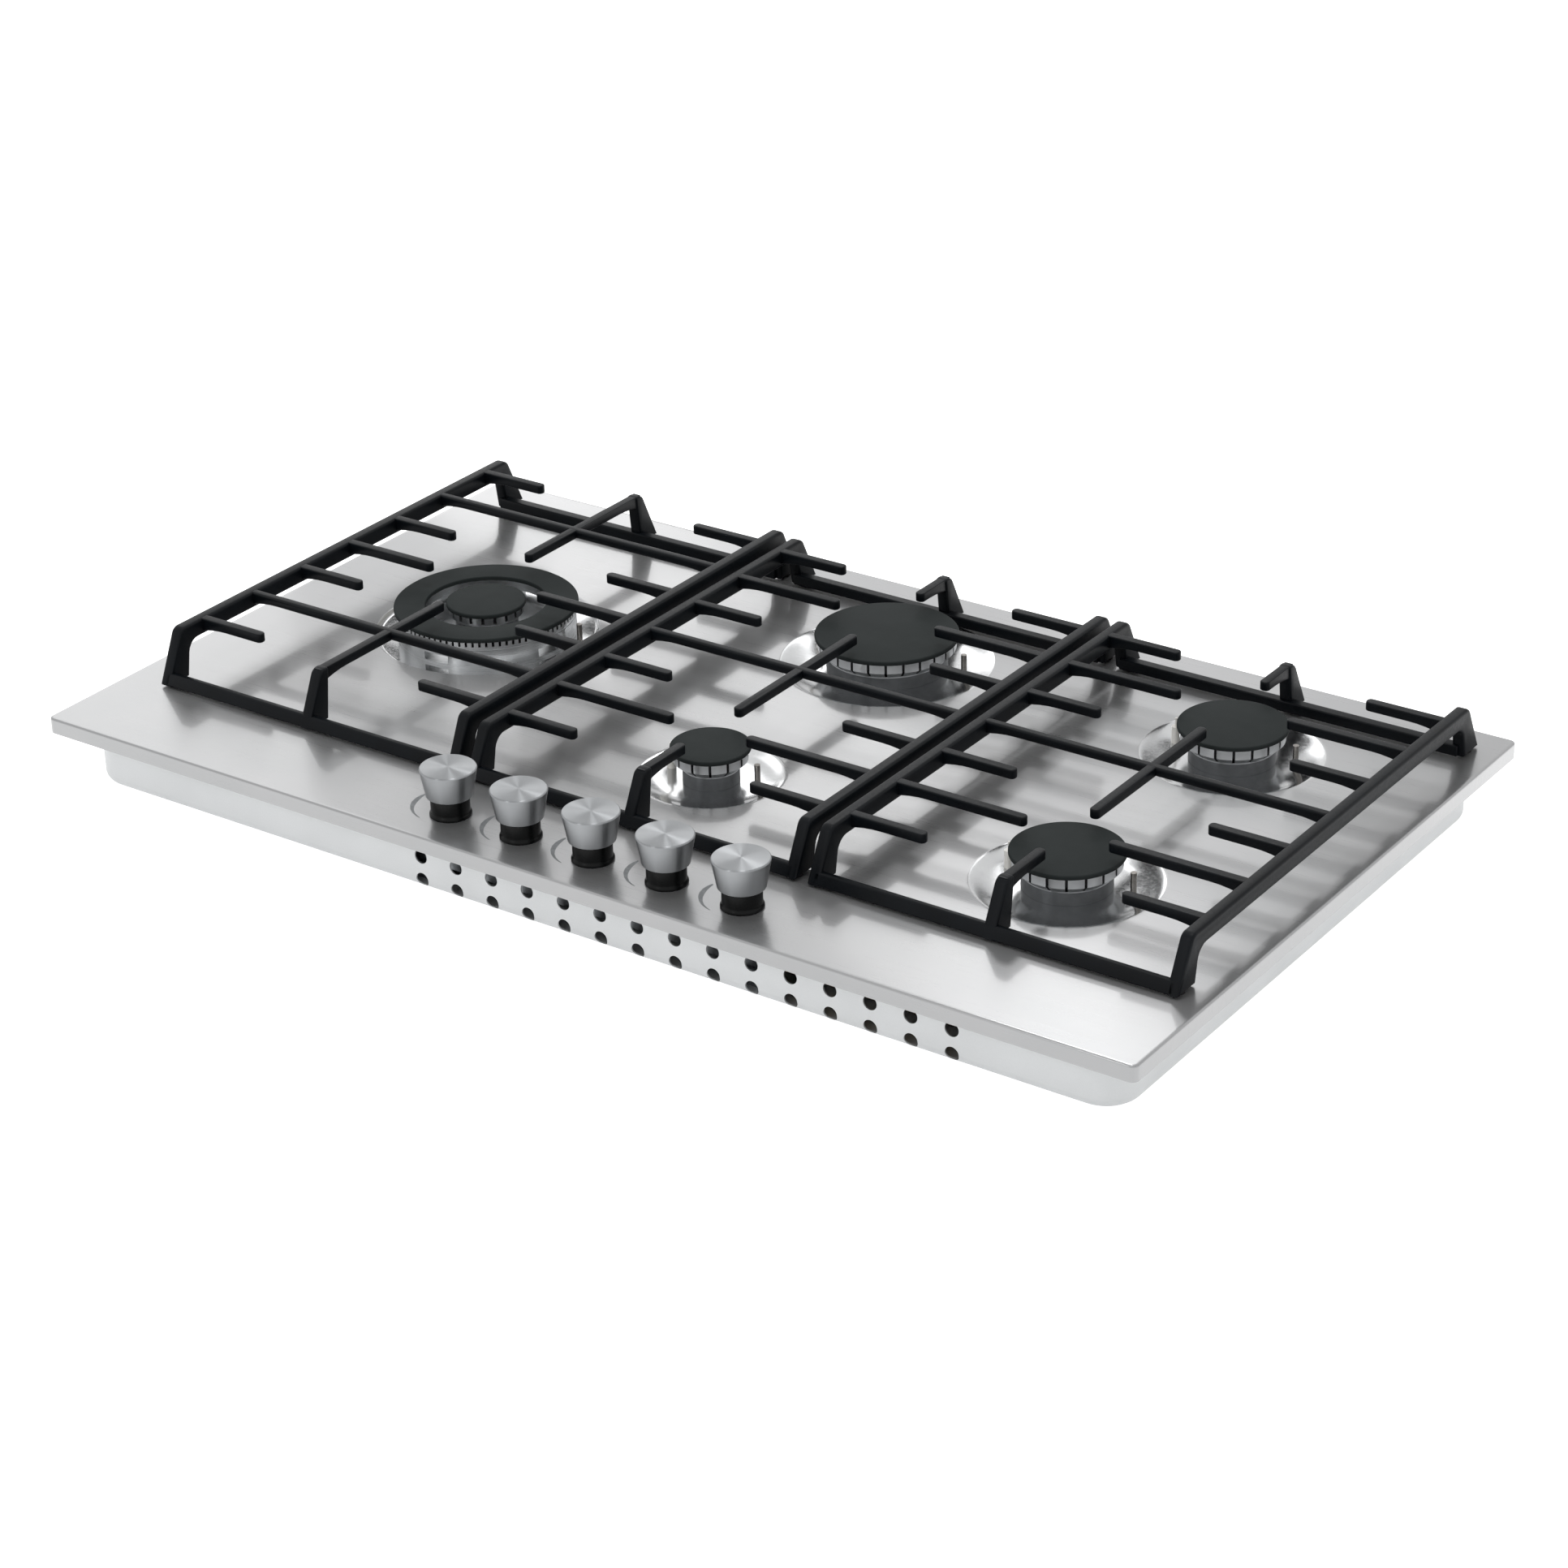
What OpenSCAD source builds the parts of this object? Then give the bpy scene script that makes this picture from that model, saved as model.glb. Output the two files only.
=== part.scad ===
// Built-in gas cooktop with five burners, three cast pan supports and front controls.
// Lengths are millimetres. +X runs to the right along the front edge, +Y to the rear, +Z up.
// The origin is the centre of the underside of the bottom tray.

/* [Top plate] */
// Width of the steel plate, left to right
plate_w = 860; // [846:1:960]
// Depth of the steel plate, front to rear
plate_d = 500; // [490:1:560]
// Thickness of the steel sheet
plate_t = 1; // [0.8:0.1:1.5]
// Height of the turned-down rim
rim_h = 11; // [8:0.5:14]
// Plan radius of the plate's corners
plate_corner_r = 5; // [3:0.5:12]
// Depth of the pressed dish round each burner
dish_depth = 3; // [2:0.5:4]

/* [Bottom tray] */
// Overhang of the plate past the tray at the left and right
side_overhang = 19; // [15:0.5:24]
// Overhang of the plate past the tray at the front and rear
front_overhang = 17; // [14:0.5:20]
// Height from the tray's underside to the top of the plate
cooktop_h = 50; // [48:0.5:60]
// Thickness of the tray sheet
tray_t = 1; // [0.8:0.1:1.5]
// Plan radius of the tray's corners
tray_corner_r = 25; // [15:1:40]
// Radius of the tray's bottom edge
tray_edge_r = 8; // [4:0.5:12]
// Diameter of a cooling vent hole
vent_d = 10; // [6:0.5:12]
// Distance between neighbouring vent holes
vent_pitch = 29.2; // [20:0.1:32]
// Number of vent holes in each row
vent_count = 15; // [5:1:18]

/* [Burner layout] */
// Distance of the outer pan supports from the plate's left and right edges, on average
support_side_margin = 24.5; // [18:0.5:30]
// Distance of the pan supports' front feet behind the plate's front edge
support_front_margin = 79.5; // [78:0.5:84]
// Distance of the pan supports' rear feet in front of the plate's rear edge
support_rear_margin = 22.5; // [18:0.5:27]
// Gap between neighbouring pan supports
support_gap = 8; // [6:0.5:14]
// Distance of the middle pan support to the right of the plate's centre
layout_shift = 7; // [-6:1:10]
// Distance of a front or rear burner from the near end of its pan support
burner_end_margin = 94; // [91:1:98]

/* [Burners] */
// Radius of the ring cap of the wok burner
wok_cap_r = 66; // [62:0.5:68]
// Radius of the inner cap of the wok burner
wok_inner_cap_r = 28.5; // [25:0.5:31]
// Radius of the rapid burner's cap
rapid_cap_r = 50.5; // [46:0.5:52]
// Radius of the semi-rapid burners' caps
semi_cap_r = 37; // [34:0.5:39]
// Radius of the auxiliary burner's cap
aux_cap_r = 27; // [24:0.5:28]
// Height of the burner caps above the plate
cap_top_h = 22; // [20:0.5:23]
// Thickness of a burner cap
cap_t = 3; // [2:0.5:4]

/* [Pan supports] */
// Height of the middle and right pan supports above the plate
grate_h = 36; // [35.5:0.5:42]
// Height of the wok burner's pan support above the others
wok_grate_up = 3; // [0:0.5:5]
// Thickness of the side bars, legs and posts
bar_w = 9; // [7:0.5:11]
// Depth of the side bars
bar_h = 12; // [9:0.5:13]
// Thickness of the fingers
finger_w = 7; // [5:0.5:9]
// Depth of a finger at its tip
finger_h = 6.5; // [5:0.5:7]

/* [Controls] */
// Radius of a knob at its top
knob_r = 19; // [16:0.5:22]
// Height of a knob's top above the plate
knob_h = 34; // [30:0.5:40]
// Distance between neighbouring knobs
knob_pitch = 58; // [50:1:64]
// Distance of the knob row behind the plate's front edge
knob_back = 37; // [33:1:40]
// Distance of the middle knob to the right of the plate's centre
knob_shift = 13; // [0:1:20]
// Distance that a knob is pushed in
push_travel = 3; // [2:0.5:4]

/* [Hidden] */
$fn = 64;
// Length by which a cut runs past the face it opens
overrun = 1;
// Clearance round a piece that is put into a hole and stays there
seat_gap = 0.1;
// Radial clearance of a shaft that turns or slides in its bore
run_gap = 0.05;
// Radial clearance between a moving piece and a piece it only passes
pass_gap = 0.3;

// Levels of the plate
plate_top = cooktop_h;
plate_under = plate_top - plate_t;
rim_bottom = plate_top - rim_h;
dish_top = plate_top - dish_depth;
dish_under = dish_top - plate_t;

// The tray hangs in the worktop cut-out under the plate
tray_w = plate_w - 2 * side_overhang;
tray_d = plate_d - 2 * front_overhang;

// The three pan supports fill the plate between their margins
grate_bar_span = (plate_w - 2 * support_side_margin - 2 * support_gap) / 3 - bar_w;
grate_pitch = grate_bar_span + bar_w + support_gap;
grate_l = plate_d - support_front_margin - support_rear_margin;
layout_back = (support_front_margin - support_rear_margin) / 2;
burner_spread = grate_l / 2 - burner_end_margin;

// Places of the five burners: wok, rapid, auxiliary, semi-rapid rear, semi-rapid front
left_x = layout_shift - grate_pitch;
centre_x = layout_shift;
right_x = layout_shift + grate_pitch;
rear_row_y = layout_back + burner_spread;
front_row_y = layout_back - burner_spread;
wok_at = [left_x, layout_back];
rapid_at = [centre_x, rear_row_y];
aux_at = [centre_x, front_row_y];
semi_rear_at = [right_x, rear_row_y];
semi_front_at = [right_x, front_row_y];

// Crowns, necks and dishes, each a named step away from its cap
cap_overhang = 2;
crown_wall = 4;
crown_h = 13;
crown_band = 7;
neck_step = 6;
neck_wall = 3;
spigot_h = 3;
dish_slope = 14;
small_dish_slope = 12;
wok_dish_slope = 4;
electrode_gap = 5.5;
dish_floor_margin = 5;
wok_lower_by = 1.5;
wok_cap_top_h = cap_top_h - wok_lower_by;
wok_cap_seat = plate_top + wok_cap_top_h - cap_t;
wok_crown_h = 7;
wok_drum_top = wok_cap_seat - wok_crown_h;
wok_drum_r = wok_cap_r - cap_overhang;
wok_wall = 4;
wok_hole_r = 45.5;
wok_floor_t = 2;
wok_window = [20, 6];
wok_window_bearings = [-8, 94, 172, 274];
port_w = 1.8;
port_h = 6;
port_pitch = 12;

// Lower bodies of the burner cups
cup_depth = 28;
cup_bottom = plate_top - cup_depth;
cup_low_r = 17;
cup_flange_w = 6;
cup_flange_t = 2;
chamber_drop = 3;
chamber_floor = dish_under - chamber_drop;
boss_w = 32;
boss_d = 8;
boss_h = 13;
gas_hole_r = 2.5;
injector_r = 4;
injector_h = 8;
injector_bore_r = 0.6;
injector_web = 0.5;

// Electrodes and thermocouples stand at these bearings from each burner's centre
electrode_bearing = 180;
thermocouple_bearing = 15;
ceramic_r = 3.2;
ceramic_up = 9;
ceramic_down = 16;
spark_wire_r = 0.9;
spark_wire_up = 15;
probe_r = 2;
probe_up = 12;
probe_down = 8;
probe_nut_r = 5;
probe_nut_h = 3;
probe_lead_r = 1.2;
probe_lead_drop = 21;
probe_lead_side = 9;
probe_lane_gap = 24;

// Pan supports
grate_gap = 1.5;
leg_flare = 17;
leg_foot_w = 25;
arch_r = 8;
rail_w = 8;
rail_h = 8;
rear_rail_inset = 16;
finger_pitch = burner_spread / 2;
short_reach = 70;
front_tip_gap = 30;
rear_tip_gap = 40;
wok_tip_gap = 48;
root_len = 26;
root_drop = 4;
foot_r = 3.4;
foot_depth = 3;
foot_inset = 9;

// Knobs, collars and taps
knob_y = knob_back - plate_d / 2;
knob_under = 14;
knob_foot_r = 15.5;
knob_chamfer = 1.5;
knob_skirt_wall = 1.6;
knob_roof = 4;
collar_r = 13;
collar_h = 15;
collar_foot_r = 14;
collar_foot_h = 3;
spindle_r = 4;
spindle_flat = 1;
spindle_flat_l = 12;
spindle_drive_l = 16;
plug_r = 7;
plug_top_drop = 3;
plug_h = 16;
plug_floor = 2;
plug_gas_r = 2;
plug_low_r = 0.6;
plug_low_bearing = -120;
plug_drive_h = 16;
tap_w = 26;
tap_l = 30;
tap_outlet_r = 2.5;

// Gas rail
manifold_w = 14;
manifold_wall = 1.5;
tap_h = 22;
tap_outlet_up = 9;
manifold_end = 20;
tap_z = plate_under - tap_h;
manifold_z = tap_z - manifold_w;
feed_z = tap_z + tap_outlet_up;
bracket_w = 32;
bracket_l = 34;
bracket_hole_inset = 7;
bracket_inset = 16;
bracket_front = 9;

// Pipes
feed_r = 4;
feed_bore_r = 3;
bend_r = 12;
nut_r = 7;
nut_l = 8;
lane_gap = 50;
rear_lane_gap = 27.5;
inlet_r = 6;
inlet_bore_r = 4.5;
inlet_bend_r = 20;
inlet_inset = [41, 73];
inlet_at = [tray_w / 2 - inlet_inset.x, tray_d / 2 - inlet_inset.y];
socket_r = 13;
socket_bore_r = 9.3;
socket_depth = 11;

// Ignition module, leads and cable gland
module_size = [64, 36, 22];
module_x = -100;
module_rear_gap = 11;
module_at = [module_x, tray_d / 2 - tray_t - module_rear_gap - module_size.y / 2];
module_ear = 12;
module_ear_t = 3;
lead_r = 1.5;
lead_z = tray_t + lead_r + seat_gap;
lead_step = 12;
lead_lane = 8;
gland_x = -30;
gland_z = 20;
gland_r = 9;
gland_bore_r = 4;
gland_l = 10;
gland_out = 5.5;
gland_flange_r = 13;
gland_flange_t = 3;

// Screws
screw_r = 2;
screw_head_r = 3.8;
screw_head_h = 2.4;
screw_hole_gap = 0.25;
clamp_hole_r = 2.25;
clamp_inset = [41, 33];
clamp_span = [tray_w - 2 * clamp_inset.x, tray_d - 2 * clamp_inset.y];

// Dent that lets a pipe pass under the tray at the right
dent_l = 33;
dent_w = 50;
dent_h = 4;
dent_y = 95;

// Vent rows
vent_first_x = -114;
vent_low_z = 7;
vent_row_gap = 17;

// Gasket
gasket_w = 8;

knob_numbers = [0:4];
function knob_x(i) = knob_shift + (i - 2) * knob_pitch;
function polar(r, bearing) = [r * cos(bearing), r * sin(bearing)];
manifold_from = knob_x(0) - tap_w / 2 - manifold_end;
manifold_to = knob_x(4) + tap_w / 2 + manifold_end;
inlet_axis_z = manifold_z + manifold_w / 2;
socket_h = inlet_axis_z + inlet_r;
bracket_x = [manifold_from + bracket_inset, manifold_to - bracket_inset];
bracket_screw_y = knob_y - bracket_front + bracket_l - bracket_hole_inset;
bracket_screw_places = [for (x = bracket_x, s = [-1, 1])
    [x + s * (bracket_w / 2 - bracket_hole_inset), bracket_screw_y]];
module_screw_places = [for (s = [-1, 1]) module_at + [s * (module_size.x + module_ear) / 2, 0]];

function crown_r(cap_r) = cap_r - cap_overhang;
function neck_r(cap_r) = crown_r(cap_r) - neck_step;
function rod_ring_r(cap_r) = cap_r + electrode_gap;
function dish_floor_r(cap_r) = rod_ring_r(cap_r) + dish_floor_margin;
function electrode_place(at, cap_r) = at + polar(rod_ring_r(cap_r), electrode_bearing);
function probe_place(at, cap_r) = at + polar(rod_ring_r(cap_r), thermocouple_bearing);

burner_places = [wok_at, rapid_at, aux_at, semi_rear_at, semi_front_at];
burner_caps = [wok_cap_r, rapid_cap_r, aux_cap_r, semi_cap_r, semi_cap_r];
dish_slopes = [wok_dish_slope, dish_slope, small_dish_slope, dish_slope, dish_slope];
wok_base_hole_r = cup_low_r + cup_flange_w;
// Front faces of the injector bosses, where the feed pipes end
boss_front = cup_low_r + boss_d;

// Plain shapes that several pieces share

module round_rect(w, d, r) {
    square([w - 2 * r, d], center = true);
    square([w, d - 2 * r], center = true);
    for (sx = [-1, 1], sy = [-1, 1])
        translate([sx * (w / 2 - r), sy * (d / 2 - r)])
            circle(r);
}

module edge_profile(r_out, h, edge_r) {
    square([r_out - edge_r, h]);
    translate([0, edge_r])
        square([r_out, h - edge_r]);
    translate([r_out - edge_r, edge_r])
        intersection() {
            circle(edge_r);
            translate([0, -edge_r])
                square([edge_r, edge_r]);
        }
}

module section_profile(w, h, edge_r) {
    for (side = [0, 1])
        mirror([side, 0])
            edge_profile(w / 2, h, edge_r);
}

// Solid box with round plan corners and a round bottom edge
module pan_solid(w, d, h, corner, edge_r) {
    for (sx = [-1, 1], sy = [-1, 1])
        translate([sx * (w / 2 - corner), sy * (d / 2 - corner)])
            rotate_extrude()
                edge_profile(corner, h, edge_r);
    translate([-(w / 2 - corner), 0])
        rotate([90, 0, 90])
            linear_extrude(w - 2 * corner)
                section_profile(d, h, edge_r);
    translate([0, d / 2 - corner])
        rotate([90, 0, 0])
            linear_extrude(d - 2 * corner)
                section_profile(w, h, edge_r);
}

module ring(r_out, r_in, h) {
    difference() {
        cylinder(r = r_out, h = h);
        translate([0, 0, -overrun])
            cylinder(r = r_in, h = h + 2 * overrun);
    }
}

// A round bar from one point to another along X, Y or Z
module run_between(a, b, r) {
    v = b - a;
    len = norm(v);
    turn = v.z != 0 ? [v.z > 0 ? 0 : 180, 0, 0]
        : v.x != 0 ? [0, v.x > 0 ? 90 : -90, 0]
        : [v.y > 0 ? -90 : 90, 0, 0];
    translate(a)
        rotate(turn)
            cylinder(r = r, h = len);
}

function unit(v) = v / norm(v);

// A quarter bend of a level pipe at a corner, between two square runs
module quarter_bend(corner, before, after, r, bend) {
    into = unit(corner - before);
    out = unit(after - corner);
    centre = corner + (out - into) * bend;
    start = atan2(-out.y, -out.x);
    turning = into.x * out.y - into.y * out.x;
    translate(centre)
        rotate([0, 0, turning > 0 ? start : start - 90])
            rotate_extrude(angle = 90)
                translate([bend, 0])
                    circle(r);
}

// A level pipe through a list of points whose runs are square to each other
module bent_rod(points, r, bend) {
    last = len(points) - 1;
    for (i = [0:last - 1]) {
        along = unit(points[i + 1] - points[i]);
        from = i == 0 ? points[i] : points[i] + along * bend;
        to = i == last - 1 ? points[i + 1] : points[i + 1] - along * bend;
        run_between(from, to, r);
    }
    if (last > 1)
        for (i = [1:last - 1])
            quarter_bend(points[i], points[i - 1], points[i + 1], r, bend);
}

// A wire through a list of points, with round corners of its own radius
module wire(points, r) {
    last = len(points) - 1;
    for (i = [0:last - 1])
        run_between(points[i], points[i + 1], r);
    for (i = [1:last - 1])
        translate(points[i])
            sphere(r);
}

module bent_pipe(points, r, bore_r, bend) {
    last = len(points) - 1;
    first_way = unit(points[0] - points[1]);
    last_way = unit(points[last] - points[last - 1]);
    longer = [for (i = [0:last])
        i == 0 ? points[i] + first_way * overrun
        : i == last ? points[i] + last_way * overrun
        : points[i]];
    difference() {
        union() {
            bent_rod(points, r, bend);
            children();
        }
        bent_rod(longer, bore_r, bend);
    }
}

// Top plate

module dish_shell(cap_r, slope, hole_r) {
    floor_r = dish_floor_r(cap_r);
    lip_r = floor_r + slope;
    rotate_extrude()
        polygon([
            [hole_r, dish_top], [floor_r, dish_top], [lip_r, plate_top],
            [lip_r, plate_under], [floor_r, dish_under], [hole_r, dish_under]
        ]);
}

function plate_hole_r(i) = i == 0 ? wok_base_hole_r + seat_gap : neck_r(burner_caps[i]) + seat_gap;
function dish_lip_r(i) = dish_floor_r(burner_caps[i]) + dish_slopes[i];

module top_plate() {
    color("lightgray")
    difference() {
        union() {
            difference() {
                translate([0, 0, rim_bottom])
                    linear_extrude(rim_h)
                        round_rect(plate_w, plate_d, plate_corner_r);
                translate([0, 0, rim_bottom - overrun])
                    linear_extrude(rim_h - plate_t + overrun)
                        round_rect(plate_w - 2 * plate_t, plate_d - 2 * plate_t, plate_corner_r - plate_t);
                for (i = [0:4])
                    translate(concat(burner_places[i], plate_under - overrun))
                        cylinder(r = dish_lip_r(i), h = plate_t + 2 * overrun);
            }
            for (i = [0:4])
                translate(burner_places[i])
                    dish_shell(burner_caps[i], dish_slopes[i], plate_hole_r(i));
        }
        for (i = [0:4]) {
            translate(concat(electrode_place(burner_places[i], burner_caps[i]), dish_under - overrun))
                cylinder(r = ceramic_r + seat_gap, h = plate_t + 2 * overrun);
            translate(concat(probe_place(burner_places[i], burner_caps[i]), dish_under - overrun))
                cylinder(r = probe_r + seat_gap, h = plate_t + 2 * overrun);
        }
        for (i = knob_numbers)
            translate([knob_x(i), knob_y, plate_under - overrun])
                cylinder(r = spindle_r + pass_gap, h = plate_t + 2 * overrun);
    }
}

// Bottom tray

module dent_block(grow) {
    translate([tray_w / 2 - dent_w - grow, dent_y - grow, -overrun])
        cube([dent_w + grow + overrun, dent_l + 2 * grow, dent_h + grow + overrun]);
}

module tray_screw_places() {
    for (p = bracket_screw_places)
        translate(p)
            children();
    for (p = module_screw_places)
        translate(p)
            children();
}

module bottom_tray() {
    color("gainsboro")
    difference() {
        difference() {
            pan_solid(tray_w, tray_d, plate_under, tray_corner_r, tray_edge_r);
            dent_block(0);
        }
        difference() {
            translate([0, 0, tray_t])
                pan_solid(tray_w - 2 * tray_t, tray_d - 2 * tray_t, plate_under,
                    tray_corner_r - tray_t, tray_edge_r - tray_t);
            dent_block(tray_t);
        }
        for (i = [0:vent_count - 1], row = [0, 1])
            translate([vent_first_x + i * vent_pitch, -tray_d / 2 - overrun, vent_low_z + row * vent_row_gap])
                rotate([-90, 0, 0])
                    cylinder(d = vent_d, h = tray_edge_r + 2 * overrun);
        translate([inlet_at.x, inlet_at.y, -overrun])
            cylinder(r = socket_r + seat_gap, h = tray_t + 2 * overrun);
        translate([gland_x, tray_d / 2 - tray_t - overrun, gland_z])
            rotate([-90, 0, 0])
                cylinder(r = gland_r + seat_gap, h = tray_t + 2 * overrun);
        for (sx = [-1, 1], sy = [-1, 1])
            translate([sx * clamp_span.x / 2, sy * clamp_span.y / 2, -overrun])
                cylinder(r = clamp_hole_r, h = tray_t + 2 * overrun);
        tray_screw_places()
            translate([0, 0, -overrun])
                cylinder(r = screw_r + screw_hole_gap, h = tray_t + 2 * overrun);
    }
}

module rim_gasket() {
    color("dimgray")
    translate([0, 0, rim_bottom])
        linear_extrude(rim_h - plate_t)
            difference() {
                round_rect(plate_w - 2 * plate_t, plate_d - 2 * plate_t, plate_corner_r - plate_t);
                round_rect(plate_w - 2 * (plate_t + gasket_w), plate_d - 2 * (plate_t + gasket_w),
                    plate_corner_r - plate_t);
            }
}

// Pan supports

grate_foot_z = plate_top + grate_gap;
twin_h = grate_h - grate_gap;
wok_h = twin_h + wok_grate_up;
half_l = grate_l / 2;
half_span = grate_bar_span / 2;

// Outline of a side frame seen from the side: a bar with a flared leg at each end
module side_frame_outline(h) {
    inner_l = grate_l - 2 * leg_foot_w;
    inner_h = h - bar_h;
    difference() {
        polygon([[-half_l, 0], [-half_l + leg_flare, h], [half_l - leg_flare, h], [half_l, 0]]);
        translate([-inner_l / 2, -overrun])
            square([inner_l, inner_h - arch_r + overrun]);
        translate([-inner_l / 2 + arch_r, -overrun])
            square([inner_l - 2 * arch_r, inner_h + overrun]);
        for (s = [-1, 1])
            translate([s * (inner_l / 2 - arch_r), inner_h - arch_r])
                circle(arch_r);
    }
}

// Outline of one post of a rail, from its foot to its top
module post_outline(h) {
    polygon([
        [-half_l, 0], [-half_l + leg_flare, h], [-half_l + leg_foot_w, h], [-half_l + leg_foot_w, 0]
    ]);
}

// The front rail leans with the legs
module front_rail_outline(h) {
    lean = leg_flare * rail_h / h;
    polygon([[-half_l, 0], [-half_l + lean, rail_h], [-half_l + rail_w, rail_h], [-half_l + rail_w, 0]]);
}

module rear_rail_outline() {
    translate([half_l - rear_rail_inset - rail_w, 0])
        square([rail_w, rail_h]);
}

// Plate standing along Y, drawn from an outline whose first axis is Y and second is Z
module across(thickness) {
    translate([-thickness / 2, 0, 0])
        rotate([90, 0, 90])
            linear_extrude(thickness)
                children();
}

// A finger that points along +X from the origin, with a deeper root and a round tip
module finger(reach, h) {
    arc_r = (root_len * root_len + root_drop * root_drop) / (2 * root_drop);
    straight = reach - finger_w / 2;
    translate([0, finger_w / 2, 0])
        rotate([90, 0, 0])
            linear_extrude(finger_w) {
                translate([0, h - finger_h])
                    square([straight, finger_h]);
                translate([0, h - finger_h - root_drop])
                    difference() {
                        square([root_len, root_drop]);
                        translate([root_len, root_drop - arc_r])
                            circle(arc_r, $fn = 200);
                    }
            }
    translate([straight, 0, h - finger_h])
        cylinder(d = finger_w, h = finger_h);
}

// A finger from each side bar towards the centre line
module finger_pair(y, tip_gap, h) {
    for (side = [0, 180])
        rotate([0, 0, side])
            translate([-half_span, side == 0 ? y : -y, 0])
                finger(half_span - tip_gap, h);
}

// A bar right across the support
module cross_bar(y, h) {
    finger_pair(y, -finger_w / 2, h);
}

// A finger from the front or rear post, which ends at the given distance from the support's centre
module post_finger(front, stop, h) {
    rotate([0, 0, front ? 90 : -90])
        translate([-half_l + leg_flare, 0, 0])
            finger(half_l - leg_flare - stop, h);
}

module grate_frame(h) {
    for (sx = [-1, 1])
        translate([sx * half_span, 0, 0])
            across(bar_w)
                side_frame_outline(h);
    for (turn = [0, 180])
        rotate([0, 0, turn])
            across(bar_w)
                post_outline(h);
    across(grate_bar_span) {
        front_rail_outline(h);
        rear_rail_outline();
    }
}

foot_places = [for (sx = [-1, 1], sy = [-1, 1]) [sx * half_span, sy * (half_l - foot_inset)]];

module foot_holes() {
    for (p = foot_places)
        translate([p.x, p.y, -overrun])
            cylinder(r = foot_r + seat_gap, h = foot_depth + overrun);
}

module wok_grate() {
    difference() {
        union() {
            grate_frame(wok_h);
            for (k = [-3, -1, 1, 3])
                finger_pair(k * finger_pitch, short_reach, wok_h);
            for (k = [-2, 2])
                cross_bar(k * finger_pitch, wok_h);
            finger_pair(0, wok_tip_gap, wok_h);
            post_finger(true, wok_tip_gap, wok_h);
            post_finger(false, wok_tip_gap, wok_h);
        }
        foot_holes();
    }
}

module twin_grate() {
    front_tip = burner_spread - front_tip_gap;
    rear_tip = burner_spread - rear_tip_gap;
    difference() {
        union() {
            grate_frame(twin_h);
            for (k = [-3, -1, 1, 3])
                finger_pair(k * finger_pitch, short_reach, twin_h);
            finger_pair(-2 * finger_pitch, front_tip_gap, twin_h);
            finger_pair(2 * finger_pitch, rear_tip_gap, twin_h);
            cross_bar(0, twin_h);
            post_finger(true, burner_spread + front_tip_gap, twin_h);
            post_finger(false, burner_spread + rear_tip_gap, twin_h);
            translate([-finger_w / 2, -front_tip, twin_h - finger_h])
                cube([finger_w, front_tip + rear_tip, finger_h]);
        }
        foot_holes();
    }
}

module grate_left() {
    color("#26292b")
        translate([left_x, layout_back, grate_foot_z])
            wok_grate();
}

module grate_centre() {
    color("#26292b")
        translate([centre_x, layout_back, grate_foot_z])
            twin_grate();
}

module grate_right() {
    color("#26292b")
        translate([right_x, layout_back, grate_foot_z])
            twin_grate();
}

module grate_feet(x) {
    color("black")
        for (p = foot_places)
            translate([x + p.x, layout_back + p.y, plate_top])
                cylinder(r = foot_r, h = grate_gap + foot_depth);
}

// Burners

crown_seat_z = plate_top + cap_top_h - cap_t - crown_h;
cap_seat_z = plate_top + cap_top_h - cap_t;

injector_z = feed_z + gas_hole_r + injector_web;

// Injector boss that the feed pipe screws into, at the front of a cup
module injector_boss() {
    translate([-boss_w / 2, -boss_front, feed_z - boss_h / 2])
        cube([boss_w, boss_front, boss_h]);
}

module gas_way(offset_x) {
    translate([offset_x, -boss_front - overrun, feed_z])
        rotate([-90, 0, 0])
            cylinder(r = gas_hole_r, h = boss_front + overrun);
    translate([0, 0, feed_z])
        rotate([0, 90, 0])
            cylinder(r = gas_hole_r, h = offset_x);
    translate([0, 0, feed_z])
        cylinder(r = gas_hole_r, h = chamber_floor - feed_z);
    translate([0, 0, injector_z])
        cylinder(r = injector_r, h = chamber_floor - injector_z + overrun);
}

// Cup of a burner: flange under the dish, neck through the plate, injector below
module burner_cup(cap_r, pipe_offset) {
    neck = neck_r(cap_r);
    low_r = min(cup_low_r, neck);
    difference() {
        union() {
            rotate_extrude()
                polygon([
                    [0, cup_bottom], [low_r, cup_bottom], [low_r, dish_under - cup_flange_t],
                    [neck + cup_flange_w, dish_under - cup_flange_t], [neck + cup_flange_w, dish_under],
                    [neck, dish_under], [neck, crown_seat_z], [0, crown_seat_z]
                ]);
            injector_boss();
        }
        rotate_extrude()
            polygon([
                [0, chamber_floor], [low_r - neck_wall, chamber_floor], [low_r - neck_wall, dish_under],
                [neck - neck_wall, dish_under], [neck - neck_wall, crown_seat_z + overrun],
                [0, crown_seat_z + overrun]
            ]);
        gas_way(pipe_offset);
    }
}

module port_ring(r, z, h) {
    ports = floor(2 * PI * r / port_pitch);
    for (i = [0:ports - 1])
        rotate([0, 0, i * 360 / ports])
            translate([r - crown_wall - overrun, -port_w / 2, z])
                cube([crown_wall + 2 * overrun, port_w, h]);
}

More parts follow.
